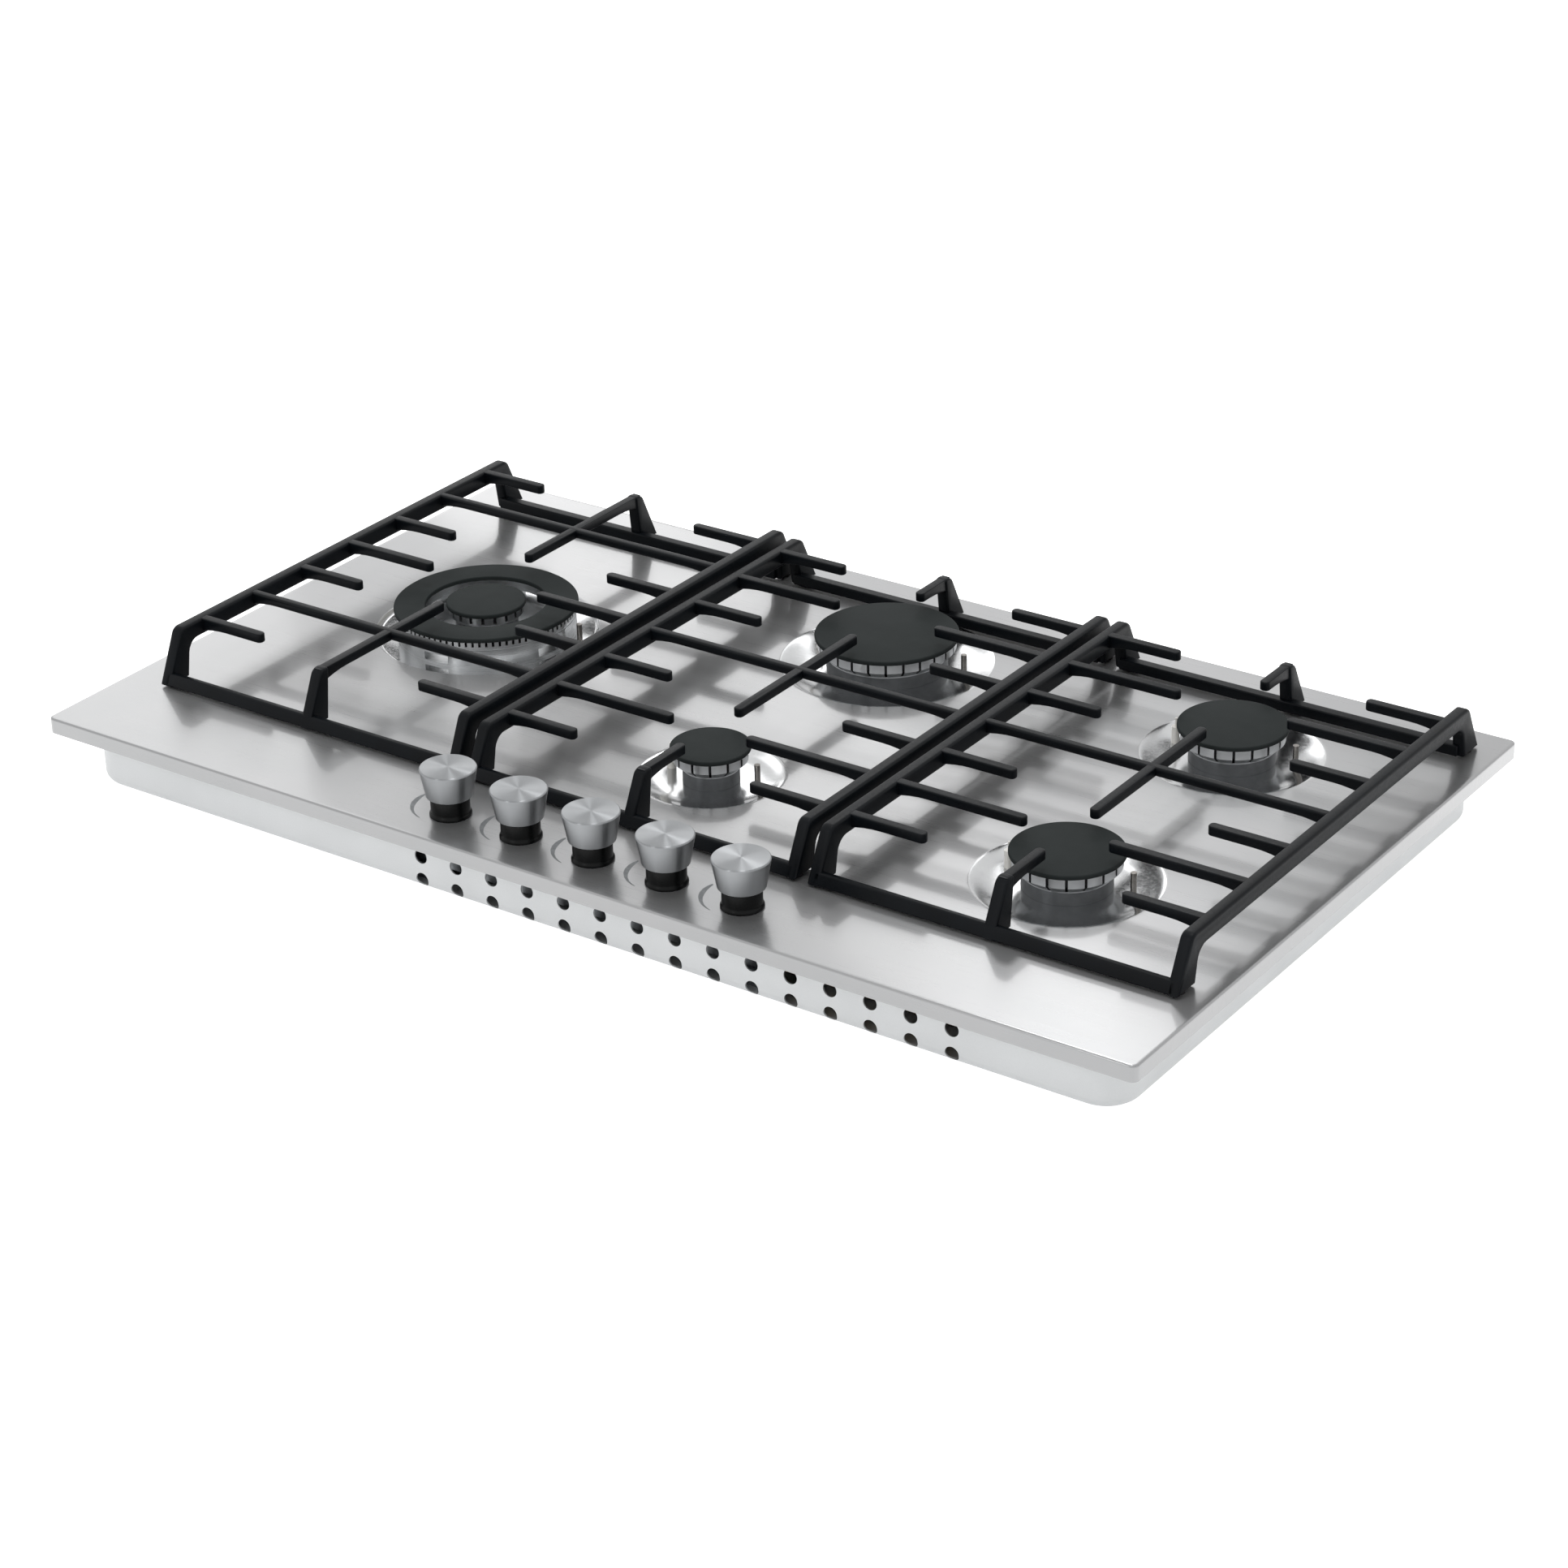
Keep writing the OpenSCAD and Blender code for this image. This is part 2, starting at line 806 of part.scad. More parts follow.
// Flame spreader: a ring of ports on a rim, with a spigot down into the cup
module burner_crown(cap_r) {
    outer = crown_r(cap_r);
    spigot = neck_r(cap_r) - neck_wall - pass_gap;
    band_z = cap_seat_z - crown_band;
    difference() {
        rotate_extrude()
            polygon([
                [spigot - neck_wall, crown_seat_z - spigot_h], [spigot, crown_seat_z - spigot_h],
                [spigot, crown_seat_z], [neck_r(cap_r), crown_seat_z],
                [outer, band_z], [outer, cap_seat_z],
                [outer - crown_wall, cap_seat_z], [outer - crown_wall, band_z],
                [spigot, crown_seat_z + neck_wall], [spigot - neck_wall, crown_seat_z + neck_wall]
            ]);
        port_ring(outer, cap_seat_z - port_h, port_h + overrun);
    }
}

module cap_disc(r, z, t, lip_r) {
    edge = t / 3;
    rotate_extrude()
        polygon([
            [0, z], [lip_r - crown_wall / 2, z], [lip_r - crown_wall / 2, z - edge], [lip_r, z - edge],
            [lip_r, z], [r, z], [r, z + t - edge], [r - edge, z + t], [0, z + t]
        ]);
}

module burner_cap(cap_r) {
    cap_disc(cap_r, cap_seat_z, cap_t, crown_r(cap_r) - crown_wall - pass_gap);
}

// Wok burner: a low drum with air windows, an outer crown, an inner crown and two caps

module wok_cup() {
    color("silver")
    translate(wok_at)
    difference() {
        union() {
            rotate_extrude()
                polygon([
                    [0, cup_bottom], [cup_low_r, cup_bottom], [cup_low_r, dish_under],
                    [wok_base_hole_r, dish_under], [wok_base_hole_r, dish_top],
                    [wok_drum_r, dish_top], [wok_drum_r, wok_drum_top], [0, wok_drum_top]
                ]);
            injector_boss();
        }
        rotate_extrude()
            polygon([
                [0, chamber_floor], [cup_low_r - neck_wall, chamber_floor],
                [cup_low_r - neck_wall, dish_top + wok_floor_t],
                [wok_drum_r - wok_wall, dish_top + wok_floor_t],
                [wok_drum_r - wok_wall, wok_drum_top + overrun], [0, wok_drum_top + overrun]
            ]);
        gas_way(0);
        for (b = wok_window_bearings)
            rotate([0, 0, b])
                translate([wok_drum_r - wok_wall - overrun, -wok_window.x / 2, dish_top + wok_floor_t])
                    cube([wok_wall + 2 * overrun, wok_window.x, wok_window.y]);
    }
}

module wok_crown() {
    color("silver")
    translate(wok_at)
    difference() {
        rotate_extrude()
            polygon([
                [wok_hole_r, wok_drum_top], [wok_drum_r, wok_drum_top], [wok_drum_r, wok_cap_seat],
                [wok_drum_r - wok_wall, wok_cap_seat], [wok_drum_r - wok_wall, wok_drum_top + wok_floor_t],
                [wok_hole_r + wok_wall, wok_drum_top + wok_floor_t], [wok_hole_r + wok_wall, wok_cap_seat],
                [wok_hole_r, wok_cap_seat]
            ]);
        port_ring(wok_drum_r, wok_cap_seat - port_h + wok_floor_t, port_h);
    }
}

module wok_inner_crown() {
    outer = crown_r(wok_inner_cap_r);
    color("silver")
    translate(wok_at)
    difference() {
        union() {
            translate([0, 0, dish_top + wok_floor_t])
                ring(outer - crown_wall, outer - 2 * crown_wall, wok_drum_top - dish_top);
            translate([0, 0, wok_drum_top + wok_floor_t])
                ring(outer, outer - 2 * crown_wall, cap_seat_z - wok_drum_top - wok_floor_t);
        }
        port_ring(outer, cap_seat_z - port_h, port_h + overrun);
    }
}

module wok_ring_cap() {
    inner = wok_hole_r - cap_overhang;
    edge = cap_t / 3;
    lip = wok_drum_r - wok_wall - pass_gap;
    color("#333737")
    translate(wok_at)
        rotate_extrude()
            polygon([
                [inner, wok_cap_seat], [lip - crown_wall / 2, wok_cap_seat],
                [lip - crown_wall / 2, wok_cap_seat - edge], [lip, wok_cap_seat - edge], [lip, wok_cap_seat],
                [wok_cap_r, wok_cap_seat], [wok_cap_r, wok_cap_seat + cap_t - edge],
                [wok_cap_r - edge, wok_cap_seat + cap_t], [inner, wok_cap_seat + cap_t]
            ]);
}

module wok_inner_cap() {
    lip = crown_r(wok_inner_cap_r) - 2 * crown_wall - pass_gap;
    color("#333737")
        translate(wok_at)
            cap_disc(wok_inner_cap_r, cap_seat_z, cap_t, lip);
}

module placed_cup(at, cap_r, pipe_offset) {
    color("silver")
        translate(at)
            burner_cup(cap_r, pipe_offset);
}

module placed_crown(at, cap_r) {
    color("silver")
        translate(at)
            burner_crown(cap_r);
}

module placed_cap(at, cap_r) {
    color("#333737")
        translate(at)
            burner_cap(cap_r);
}

module spark_electrodes() {
    color("white")
        for (i = [0:4])
            translate(concat(electrode_place(burner_places[i], burner_caps[i]), 0)) {
                translate([0, 0, plate_top - ceramic_down])
                    cylinder(r = ceramic_r, h = ceramic_down + ceramic_up);
                translate([0, 0, plate_top + ceramic_up])
                    cylinder(r = spark_wire_r, h = spark_wire_up - ceramic_up);
            }
}

// A thermocouple's lead runs under the plate to its tap
probe_lead_z = plate_top - probe_lead_drop;
function probe_lead(i, tap, lane) = [
    concat(probe_place(burner_places[i], burner_caps[i]), plate_top - probe_down),
    concat(probe_place(burner_places[i], burner_caps[i]), probe_lead_z),
    [probe_place(burner_places[i], burner_caps[i]).x, lane, probe_lead_z],
    [knob_x(tap) + probe_lead_side, lane, probe_lead_z],
    [knob_x(tap) + probe_lead_side, tap_outlet_y, probe_lead_z]
];

module thermocouples() {
    color("goldenrod") {
        for (i = [0:4])
            translate(concat(probe_place(burner_places[i], burner_caps[i]), 0)) {
                translate([0, 0, plate_top - probe_down])
                    cylinder(r = probe_r, h = probe_down + probe_up);
                translate([0, 0, dish_under - probe_nut_h])
                    cylinder(r = probe_nut_r, h = probe_nut_h, $fn = 6);
            }
        wire(probe_lead(0, 0, probe_lane_y), probe_lead_r);
        wire(probe_lead(1, 1, layout_back), probe_lead_r);
        wire(probe_lead(2, 2, front_lane_y), probe_lead_r);
        wire(probe_lead(3, 3, layout_back - lane_gap / 2), probe_lead_r);
        wire(probe_lead(4, 4, front_lane_y), probe_lead_r);
    }
}

module injectors() {
    color("gold")
        for (at = burner_places)
            translate([at.x, at.y, injector_z])
                difference() {
                    cylinder(r = injector_r - seat_gap, h = injector_h);
                    translate([0, 0, -overrun])
                        cylinder(r = injector_bore_r, h = injector_h + 2 * overrun);
                    translate([0, 0, -overrun])
                        cylinder(r = gas_hole_r, h = injector_h / 2 + overrun);
                }
}

// Controls

module knob(i) {
    roof_z = plate_top + collar_h + push_travel + knob_roof / 2;
    bore_top = spindle_top + seat_gap;
    color("silver")
    translate([knob_x(i), knob_y, 0])
    difference() {
        rotate_extrude()
            polygon([
                [0, plate_top + knob_under], [knob_foot_r, plate_top + knob_under],
                [knob_r, plate_top + knob_h - knob_chamfer], [knob_r - knob_chamfer, plate_top + knob_h],
                [0, plate_top + knob_h]
            ]);
        translate([0, 0, plate_top + knob_under - overrun])
            cylinder(r = knob_foot_r - knob_skirt_wall, h = roof_z - plate_top - knob_under + overrun);
        difference() {
            cylinder(r = spindle_r + seat_gap, h = bore_top);
            translate([spindle_r - spindle_flat + seat_gap, -spindle_r - overrun, 0])
                cube([spindle_r, 2 * spindle_r + 2 * overrun, bore_top]);
        }
    }
}

spindle_top = plate_top + knob_h - knob_roof;
plug_z = plate_under - plug_top_drop - plug_h;
spindle_z = plug_z + plug_floor + push_travel + pass_gap;

module spindle(i) {
    color("gray")
    translate([knob_x(i), knob_y, 0])
    difference() {
        translate([0, 0, spindle_z])
            cylinder(r = spindle_r, h = spindle_top - spindle_z);
        translate([spindle_r - spindle_flat, -spindle_r - overrun, spindle_top - spindle_flat_l])
            cube([spindle_r, 2 * spindle_r + 2 * overrun, spindle_flat_l + overrun]);
        translate([spindle_r - spindle_flat, -spindle_r - overrun, spindle_z - overrun])
            cube([spindle_r, 2 * spindle_r + 2 * overrun, spindle_drive_l + overrun]);
    }
}

module tap_plug(i) {
    color("darkgoldenrod")
    translate([knob_x(i), knob_y, plug_z])
    difference() {
        cylinder(r = plug_r, h = plug_h);
        translate([0, 0, -overrun])
            cylinder(r = plug_gas_r, h = plug_floor + 2 * overrun);
        difference() {
            translate([0, 0, plug_floor])
                cylinder(r = spindle_r + run_gap, h = plug_h);
            translate([spindle_r - spindle_flat + run_gap, -spindle_r - overrun, 0])
                cube([spindle_r, 2 * spindle_r + 2 * overrun, plug_drive_h]);
        }
        translate([0, 0, feed_z - plug_z])
            rotate([0, 90, 0])
                cylinder(r = tap_outlet_r, h = plug_r + overrun);
        translate([0, 0, feed_z - plug_z])
            rotate([0, 90, plug_low_bearing])
                cylinder(r = plug_low_r, h = plug_r + overrun);
    }
}

module tap_body(i) {
    color("darkgray")
    translate([knob_x(i), knob_y, 0])
    difference() {
        translate([-tap_w / 2, -tap_w / 2, tap_z])
            cube([tap_w, tap_l, plate_under - tap_z]);
        translate([0, 0, plug_z])
            cylinder(r = plug_r + run_gap, h = plate_under);
        translate([0, 0, feed_z])
            rotate([-90, 0, 0])
                cylinder(r = tap_outlet_r, h = tap_l);
        translate([0, 0, tap_z - overrun])
            cylinder(r = tap_outlet_r, h = plug_z - tap_z + 2 * overrun);
    }
}

module knob_collars() {
    color("black")
        for (i = knob_numbers)
            translate([knob_x(i), knob_y, plate_top])
                difference() {
                    rotate_extrude()
                        polygon([
                            [0, 0], [collar_foot_r, 0], [collar_foot_r, collar_foot_h / 2],
                            [collar_r, collar_foot_h], [collar_r, collar_h], [0, collar_h]
                        ]);
                    translate([0, 0, -overrun])
                        cylinder(r = spindle_r + pass_gap, h = collar_h + 2 * overrun);
                }
}

// Gas rail and pipes

module gas_manifold() {
    bore_w = manifold_w - 2 * manifold_wall;
    length = manifold_to - manifold_from;
    color("silver")
    translate([manifold_from, knob_y - manifold_w / 2, manifold_z])
    difference() {
        cube([length, manifold_w, manifold_w]);
        translate([manifold_wall, manifold_wall, manifold_wall])
            cube([length - 2 * manifold_wall, bore_w, bore_w]);
        translate([length - manifold_wall - overrun, manifold_w / 2, manifold_w / 2])
            rotate([0, 90, 0])
                cylinder(r = inlet_bore_r, h = manifold_wall + 2 * overrun);
        for (i = knob_numbers)
            translate([knob_x(i) - manifold_from, manifold_w / 2, manifold_w - manifold_wall - overrun])
                cylinder(r = tap_outlet_r, h = manifold_wall + 2 * overrun);
    }
}

module manifold_brackets() {
    color("darkgray")
        for (x = bracket_x)
            difference() {
                translate([x - bracket_w / 2, knob_y - bracket_front, tray_t])
                    cube([bracket_w, bracket_l, manifold_z - tray_t]);
                for (p = bracket_screw_places)
                    translate([p.x, p.y, tray_t - overrun])
                        cylinder(r = screw_r + screw_hole_gap, h = manifold_z);
            }
}

module gas_inlet_pipe() {
    start = [manifold_to, knob_y, inlet_axis_z];
    corner = [inlet_at.x, knob_y, inlet_axis_z];
    end = concat(inlet_at, inlet_axis_z);
    color("khaki")
    difference() {
        union() {
            bent_rod([start, corner, end], inlet_r, inlet_bend_r);
            translate(inlet_at)
                cylinder(r = socket_r, h = socket_h);
        }
        bent_rod([start - [overrun, 0, 0], corner, end], inlet_bore_r, inlet_bend_r);
        translate([inlet_at.x, inlet_at.y, -overrun])
            cylinder(r = socket_bore_r, h = socket_depth + overrun);
        translate(inlet_at)
            cylinder(r = inlet_bore_r, h = inlet_axis_z + inlet_bore_r);
    }
}

tap_outlet_y = knob_y + tap_l - tap_w / 2;
front_lane_y = tap_outlet_y + lane_gap;
rear_lane_y = rear_row_y - boss_front - rear_lane_gap;
probe_lane_y = tap_outlet_y + probe_lane_gap;

function boss_mouth(at) = [at.x, at.y - boss_front, feed_z];
function tap_mouth(i) = [knob_x(i), tap_outlet_y, feed_z];
function straight_route(i, at) = [tap_mouth(i), [knob_x(i), at.y - boss_front, feed_z]];
function lane_route(i, at, lane_y) = [
    tap_mouth(i), [knob_x(i), lane_y, feed_z], [at.x, lane_y, feed_z], boss_mouth(at)
];

module feed_pipe(points) {
    last = len(points) - 1;
    color("silver")
        bent_pipe(points, feed_r, feed_bore_r, bend_r) {
            run_between(points[0], points[0] + unit(points[1] - points[0]) * nut_l, nut_r);
            run_between(points[last], points[last] + unit(points[last - 1] - points[last]) * nut_l, nut_r);
        }
}

// Ignition

module ignition_module() {
    ear = [module_size.x + 2 * module_ear, module_size.y / 2, module_ear_t];
    color("white")
    translate([module_at.x, module_at.y, tray_t])
    difference() {
        union() {
            translate([-module_size.x / 2, -module_size.y / 2, 0])
                cube(module_size);
            translate([-ear.x / 2, -ear.y / 2, 0])
                cube(ear);
        }
        for (s = [-1, 1])
            translate([s * (module_size.x + module_ear) / 2, 0, -overrun])
                cylinder(r = screw_r + screw_hole_gap, h = module_ear_t + 2 * overrun);
    }
}

module lead(points) {
    wire(points, lead_r);
}

// Leads leave the front of the module side by side and rise to their electrodes
lead_exit_y = module_at.y - module_size.y / 2;
function lead_exit(k) = [module_at.x + (k - 2) * lead_step, lead_exit_y, lead_z];
function lead_end(i) = concat(electrode_place(burner_places[i], burner_caps[i]), lead_z);
function lead_top(i) = concat(electrode_place(burner_places[i], burner_caps[i]), plate_top - ceramic_down);

// A lead that runs along one lane and then straight to its electrode
function lane_lead(k, i, lane) = [
    lead_exit(k), [lead_exit(k).x, lane, lead_z], [lead_end(i).x, lane, lead_z], lead_end(i), lead_top(i)
];
function side_lead(k, i) = [
    lead_exit(k), [lead_exit(k).x, lead_end(i).y, lead_z], lead_end(i), lead_top(i)
];
function far_lead(k, i, lane) = [
    lead_exit(k), [lead_exit(k).x, lane, lead_z], [lead_end(i).x - lead_step, lane, lead_z],
    [lead_end(i).x - lead_step, lead_end(i).y, lead_z], lead_end(i), lead_top(i)
];

module ignition_leads() {
    color("orangered") {
        lead(lane_lead(0, 0, lead_exit_y - lead_lane));
        lead(side_lead(1, 2));
        lead(side_lead(2, 1));
        lead(far_lead(3, 4, lead_exit_y - 2 * lead_lane));
        lead(lane_lead(4, 3, lead_exit_y - lead_lane));
    }
}

module cable_gland() {
    whole = gland_l + tray_t + gland_out;
    color("dimgray")
    translate([gland_x, tray_d / 2 - tray_t - gland_l, gland_z])
        rotate([-90, 0, 0])
            difference() {
                union() {
                    cylinder(r = gland_r, h = whole);
                    translate([0, 0, gland_l + tray_t])
                        cylinder(r = gland_flange_r, h = gland_flange_t);
                    translate([0, 0, gland_l - gland_flange_t])
                        cylinder(r = gland_flange_r, h = gland_flange_t, $fn = 6);
                }
                translate([0, 0, -overrun])
                    cylinder(r = gland_bore_r, h = whole + 2 * overrun);
            }
}

module screw(seat_z) {
    translate([0, 0, seat_z])
        cylinder(r = screw_head_r, h = screw_head_h);
    translate([0, 0, tray_t / 2])
        cylinder(r = screw_r, h = seat_z - tray_t / 2 + screw_head_h / 2);
}

module mounting_screws() {
    color("gray") {
        for (p = bracket_screw_places)
            translate(p)
                screw(manifold_z);
        for (p = module_screw_places)
            translate(p)
                screw(tray_t + module_ear_t);
    }
}

top_plate();
bottom_tray();
rim_gasket();
grate_left();
grate_centre();
grate_right();
grate_feet(left_x);  // grate_feet_left
grate_feet(centre_x);  // grate_feet_centre
grate_feet(right_x);  // grate_feet_right
knob(0);  // knob_1
knob(1);  // knob_2
knob(2);  // knob_3
knob(3);  // knob_4
knob(4);  // knob_5
spindle(0);  // spindle_1
spindle(1);  // spindle_2
spindle(2);  // spindle_3
spindle(3);  // spindle_4
spindle(4);  // spindle_5
tap_plug(0);  // tap_plug_1
tap_plug(1);  // tap_plug_2
tap_plug(2);  // tap_plug_3
tap_plug(3);  // tap_plug_4
tap_plug(4);  // tap_plug_5
tap_body(0);  // tap_body_1
tap_body(1);  // tap_body_2
tap_body(2);  // tap_body_3
tap_body(3);  // tap_body_4
tap_body(4);  // tap_body_5
knob_collars();
gas_manifold();
manifold_brackets();
gas_inlet_pipe();
feed_pipe(lane_route(0, wok_at, front_lane_y));  // feed_pipe_1
feed_pipe(lane_route(1, rapid_at, rear_lane_y));  // feed_pipe_2
feed_pipe(straight_route(2, aux_at));  // feed_pipe_3
feed_pipe(lane_route(3, semi_rear_at, layout_back));  // feed_pipe_4
feed_pipe(lane_route(4, semi_front_at, front_lane_y));  // feed_pipe_5
wok_cup();
placed_cup(rapid_at, rapid_cap_r, 0);  // rapid_cup
placed_cup(aux_at, aux_cap_r, knob_x(2) - aux_at.x);  // auxiliary_cup
union() {  // semi_rapid_cups
    placed_cup(semi_rear_at, semi_cap_r, 0);
    placed_cup(semi_front_at, semi_cap_r, 0);
}
wok_crown();
wok_inner_crown();
placed_crown(rapid_at, rapid_cap_r);  // rapid_crown
placed_crown(aux_at, aux_cap_r);  // auxiliary_crown
union() {  // semi_rapid_crowns
    placed_crown(semi_rear_at, semi_cap_r);
    placed_crown(semi_front_at, semi_cap_r);
}
wok_ring_cap();
wok_inner_cap();
placed_cap(rapid_at, rapid_cap_r);  // rapid_cap
placed_cap(aux_at, aux_cap_r);  // auxiliary_cap
placed_cap(semi_rear_at, semi_cap_r);  // semi_rapid_cap_rear
placed_cap(semi_front_at, semi_cap_r);  // semi_rapid_cap_front
spark_electrodes();
thermocouples();
injectors();
ignition_module();
ignition_leads();
cable_gland();
mounting_screws();
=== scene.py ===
"""Dresses a built-in gas cooktop: brushed steel plate, cast pan supports, five burners and five metal knobs."""

import logging
import math
from dataclasses import dataclass, field
from enum import Enum
from typing import Any, Iterable, Sequence

import bmesh
import bpy
from mathutils import Matrix, Vector


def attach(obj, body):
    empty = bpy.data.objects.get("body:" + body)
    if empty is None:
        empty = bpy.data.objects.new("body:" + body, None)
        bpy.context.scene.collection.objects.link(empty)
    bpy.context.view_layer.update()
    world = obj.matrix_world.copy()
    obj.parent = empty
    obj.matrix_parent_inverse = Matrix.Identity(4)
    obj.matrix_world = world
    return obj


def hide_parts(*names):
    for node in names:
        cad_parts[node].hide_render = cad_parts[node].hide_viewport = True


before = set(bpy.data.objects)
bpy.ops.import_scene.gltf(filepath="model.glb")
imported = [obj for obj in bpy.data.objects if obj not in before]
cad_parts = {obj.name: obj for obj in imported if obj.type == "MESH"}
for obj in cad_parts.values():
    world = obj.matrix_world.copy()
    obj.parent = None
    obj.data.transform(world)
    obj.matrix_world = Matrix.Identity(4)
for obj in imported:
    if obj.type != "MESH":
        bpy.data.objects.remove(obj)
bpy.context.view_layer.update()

MM = 0.001
ROUND_STEPS = 96
HEIGHT = 50.0
ROOT_BODY = "cooktop"
UV_GRAIN = "grain"
# How many times longer than wide the marks of a brush and of a lathe tool are
BRUSH_STRETCH = 260
TURN_STRETCH = 8000
# Metres of V in the grain map for each radian round a turned piece
V_PER_RADIAN = 0.02
log = logging.getLogger("cooktop")

Point = tuple[float, float]
Shape = bmesh.types.BMesh
Edges = list[bmesh.types.BMEdge]


def linear(colour: str) -> tuple[float, float, float, float]:
    """Turns an sRGB colour into the linear values that a shader socket takes.

    Args:
        colour: Six hex digits after a hash sign.

    Returns:
        Linear red, green and blue, with an alpha of one.
    """
    shares = [int(colour[i : i + 2], 16) / 255 for i in (1, 3, 5)]
    return tuple(s / 12.92 if s <= 0.04045 else ((s + 0.055) / 1.055) ** 2.4 for s in shares) + (1.0,)


def feed(tree: bpy.types.NodeTree, node: bpy.types.Node, inputs: dict[str | int, Any]) -> None:
    """Sets a node's inputs.

    Args:
        tree: The node tree.
        node: The node.
        inputs: Socket name or number to a plain value, or to an output socket that is linked to it.
    """
    for socket, value in inputs.items():
        if isinstance(value, bpy.types.NodeSocket):
            tree.links.new(value, node.inputs[socket])
        else:
            node.inputs[socket].default_value = value


def add_node(
    tree: bpy.types.NodeTree, kind: str, inputs: dict[str | int, Any] | None = None, **settings: Any
) -> bpy.types.Node:
    """Adds a shader node with its settings, values and links.

    Args:
        tree: The node tree that gets the node.
        kind: The node's type name after ShaderNode.
        inputs: What its sockets get, as for feed.
        settings: Properties of the node itself.

    Returns:
        The new node.
    """
    made = tree.nodes.new(f"ShaderNode{kind}")
    for name, value in settings.items():
        setattr(made, name, value)
    feed(tree, made, inputs or {})
    return made


class Pattern(Enum):
    """How the surface of a finish was made, which decides what its pattern follows."""

    GRAIN = "even grain of a casting, a moulding or a coat"
    BRUSHED = "straight brush lines along the plate's width"
    TURNED = "rings left by a lathe tool round the piece's own axis"


@dataclass(frozen=True)
class Finish:
    """A real material and the way in which its surface was made.

    The grain is the size of its finest visible marks, and the patch that of its slow changes of tone.
    """

    name: str
    colour: str
    second: str
    metallic: float
    roughness: float
    spread: float
    grain_mm: float
    bump_mm: float
    patch_mm: float
    pattern: Pattern = Pattern.GRAIN
    specular: float = 0.5
    anisotropic: float = 0.0
    coat: float = 0.0
    coat_roughness: float = 0.1

    def material(self) -> bpy.types.Material:
        """Returns the finish's material, which is made the first time that it is asked for."""
        return bpy.data.materials.get(self.name) or self.make()

    def make(self) -> bpy.types.Material:
        """Builds the material's node tree.

        Returns:
            The new material.
        """
        made = bpy.data.materials.new(self.name)
        made.use_nodes = True
        tree = made.node_tree
        fine = self.fine_noise(tree)
        colour = self.tone(tree, fine)
        rough = add_node(
            tree,
            "MapRange",
            {
                "Value": fine.outputs["Fac"], "From Min": 0.3, "From Max": 0.7,
                "To Min": self.roughness - self.spread, "To Max": self.roughness + self.spread,
            },
        )
        bump = add_node(
            tree, "Bump", {"Height": fine.outputs["Fac"], "Distance": self.bump_mm * MM, "Strength": 1.0}
        )
        sockets = {
            "Metallic": self.metallic, "Specular IOR Level": self.specular, "Anisotropic": self.anisotropic,
            "Coat Weight": self.coat, "Coat Roughness": self.coat_roughness, "Base Color": colour,
            "Roughness": rough.outputs["Result"], "Normal": bump.outputs["Normal"],
        }
        if self.anisotropic:
            along = add_node(tree, "Tangent", direction_type="UV_MAP", uv_map=UV_GRAIN)
            sockets["Tangent"] = along.outputs["Tangent"]
        feed(tree, tree.nodes["Principled BSDF"], sockets)
        return made

    def fine_noise(self, tree: bpy.types.NodeTree) -> bpy.types.Node:
        """Adds the noise that gives the finish its grain.

        Args:
            tree: The material's node tree.

        Returns:
            The noise node.
        """
        per_metre = 1 / (self.grain_mm * MM)
        if self.pattern is Pattern.GRAIN:
            where = add_node(tree, "TexCoord").outputs["Object"]
            return add_node(tree, "TexNoise", {"Vector": where, "Scale": per_metre, "Detail": 3.0})
        # A brush line or lathe ring is long: the noise hardly changes along it
        long = per_metre / (BRUSH_STRETCH if self.pattern is Pattern.BRUSHED else TURN_STRETCH)
        where = add_node(tree, "UVMap", uv_map=UV_GRAIN)
        drawn = add_node(
            tree, "Mapping", {"Vector": where.outputs["UV"], "Scale": (per_metre, long, 1.0)}
        )
        return add_node(
            tree, "TexNoise", {"Vector": drawn.outputs["Vector"], "Scale": 1.0, "Detail": 4.0}
        )

    def tone(self, tree: bpy.types.NodeTree, fine: bpy.types.Node) -> bpy.types.NodeSocket:
        """Mixes the finish's two tones in slow patches with a little of the fine grain.

        Args:
            tree: The material's node tree.
            fine: The noise node of the grain.

        Returns:
            The socket that gives the base colour.
        """
        places = add_node(tree, "TexCoord")
        patches = add_node(
            tree,
            "TexNoise",
            {"Vector": places.outputs["Object"], "Scale": 1 / (self.patch_mm * MM), "Detail": 2.0},
        )
        both = add_node(
            tree,
            "Mix",
            {"Factor": 0.35, "A": patches.outputs["Fac"], "B": fine.outputs["Fac"]},
            data_type="FLOAT",
        )
        share = add_node(
            tree, "MapRange", {"Value": both.outputs["Result"], "From Min": 0.35, "From Max": 0.65}
        )
        mixed = add_node(
            tree,
            "Mix",
            {"Factor": share.outputs["Result"], "A": linear(self.colour), "B": linear(self.second)},
            data_type="RGBA",
        )
        return mixed.outputs[2]


# Stainless steel sheet, satin brushed under a clear lacquer that keeps finger marks off: a soft grey glow with weak
# sharp reflections over it. The lacquer takes part of the metal's shine, so metallic is under one. Real lines are
# about 0.15 mm apart, drawn here at 0.4 mm so that they show
PLATE_STEEL = Finish(
    "lacquered_brushed_stainless", "#949596", "#99999a", 0.72, 0.29, 0.02, 0.4, 0.0012, 70,
    pattern=Pattern.BRUSHED, anisotropic=0.6, coat=0.8, coat_roughness=0.09,
)
# The same sheet where the press tool has burnished it: bright and nearly a mirror
DISH_STEEL = Finish("press_burnished_stainless", "#c6c7c8", "#cfd0d1", 1.0, 0.15, 0.03, 2.0, 0.004, 25)
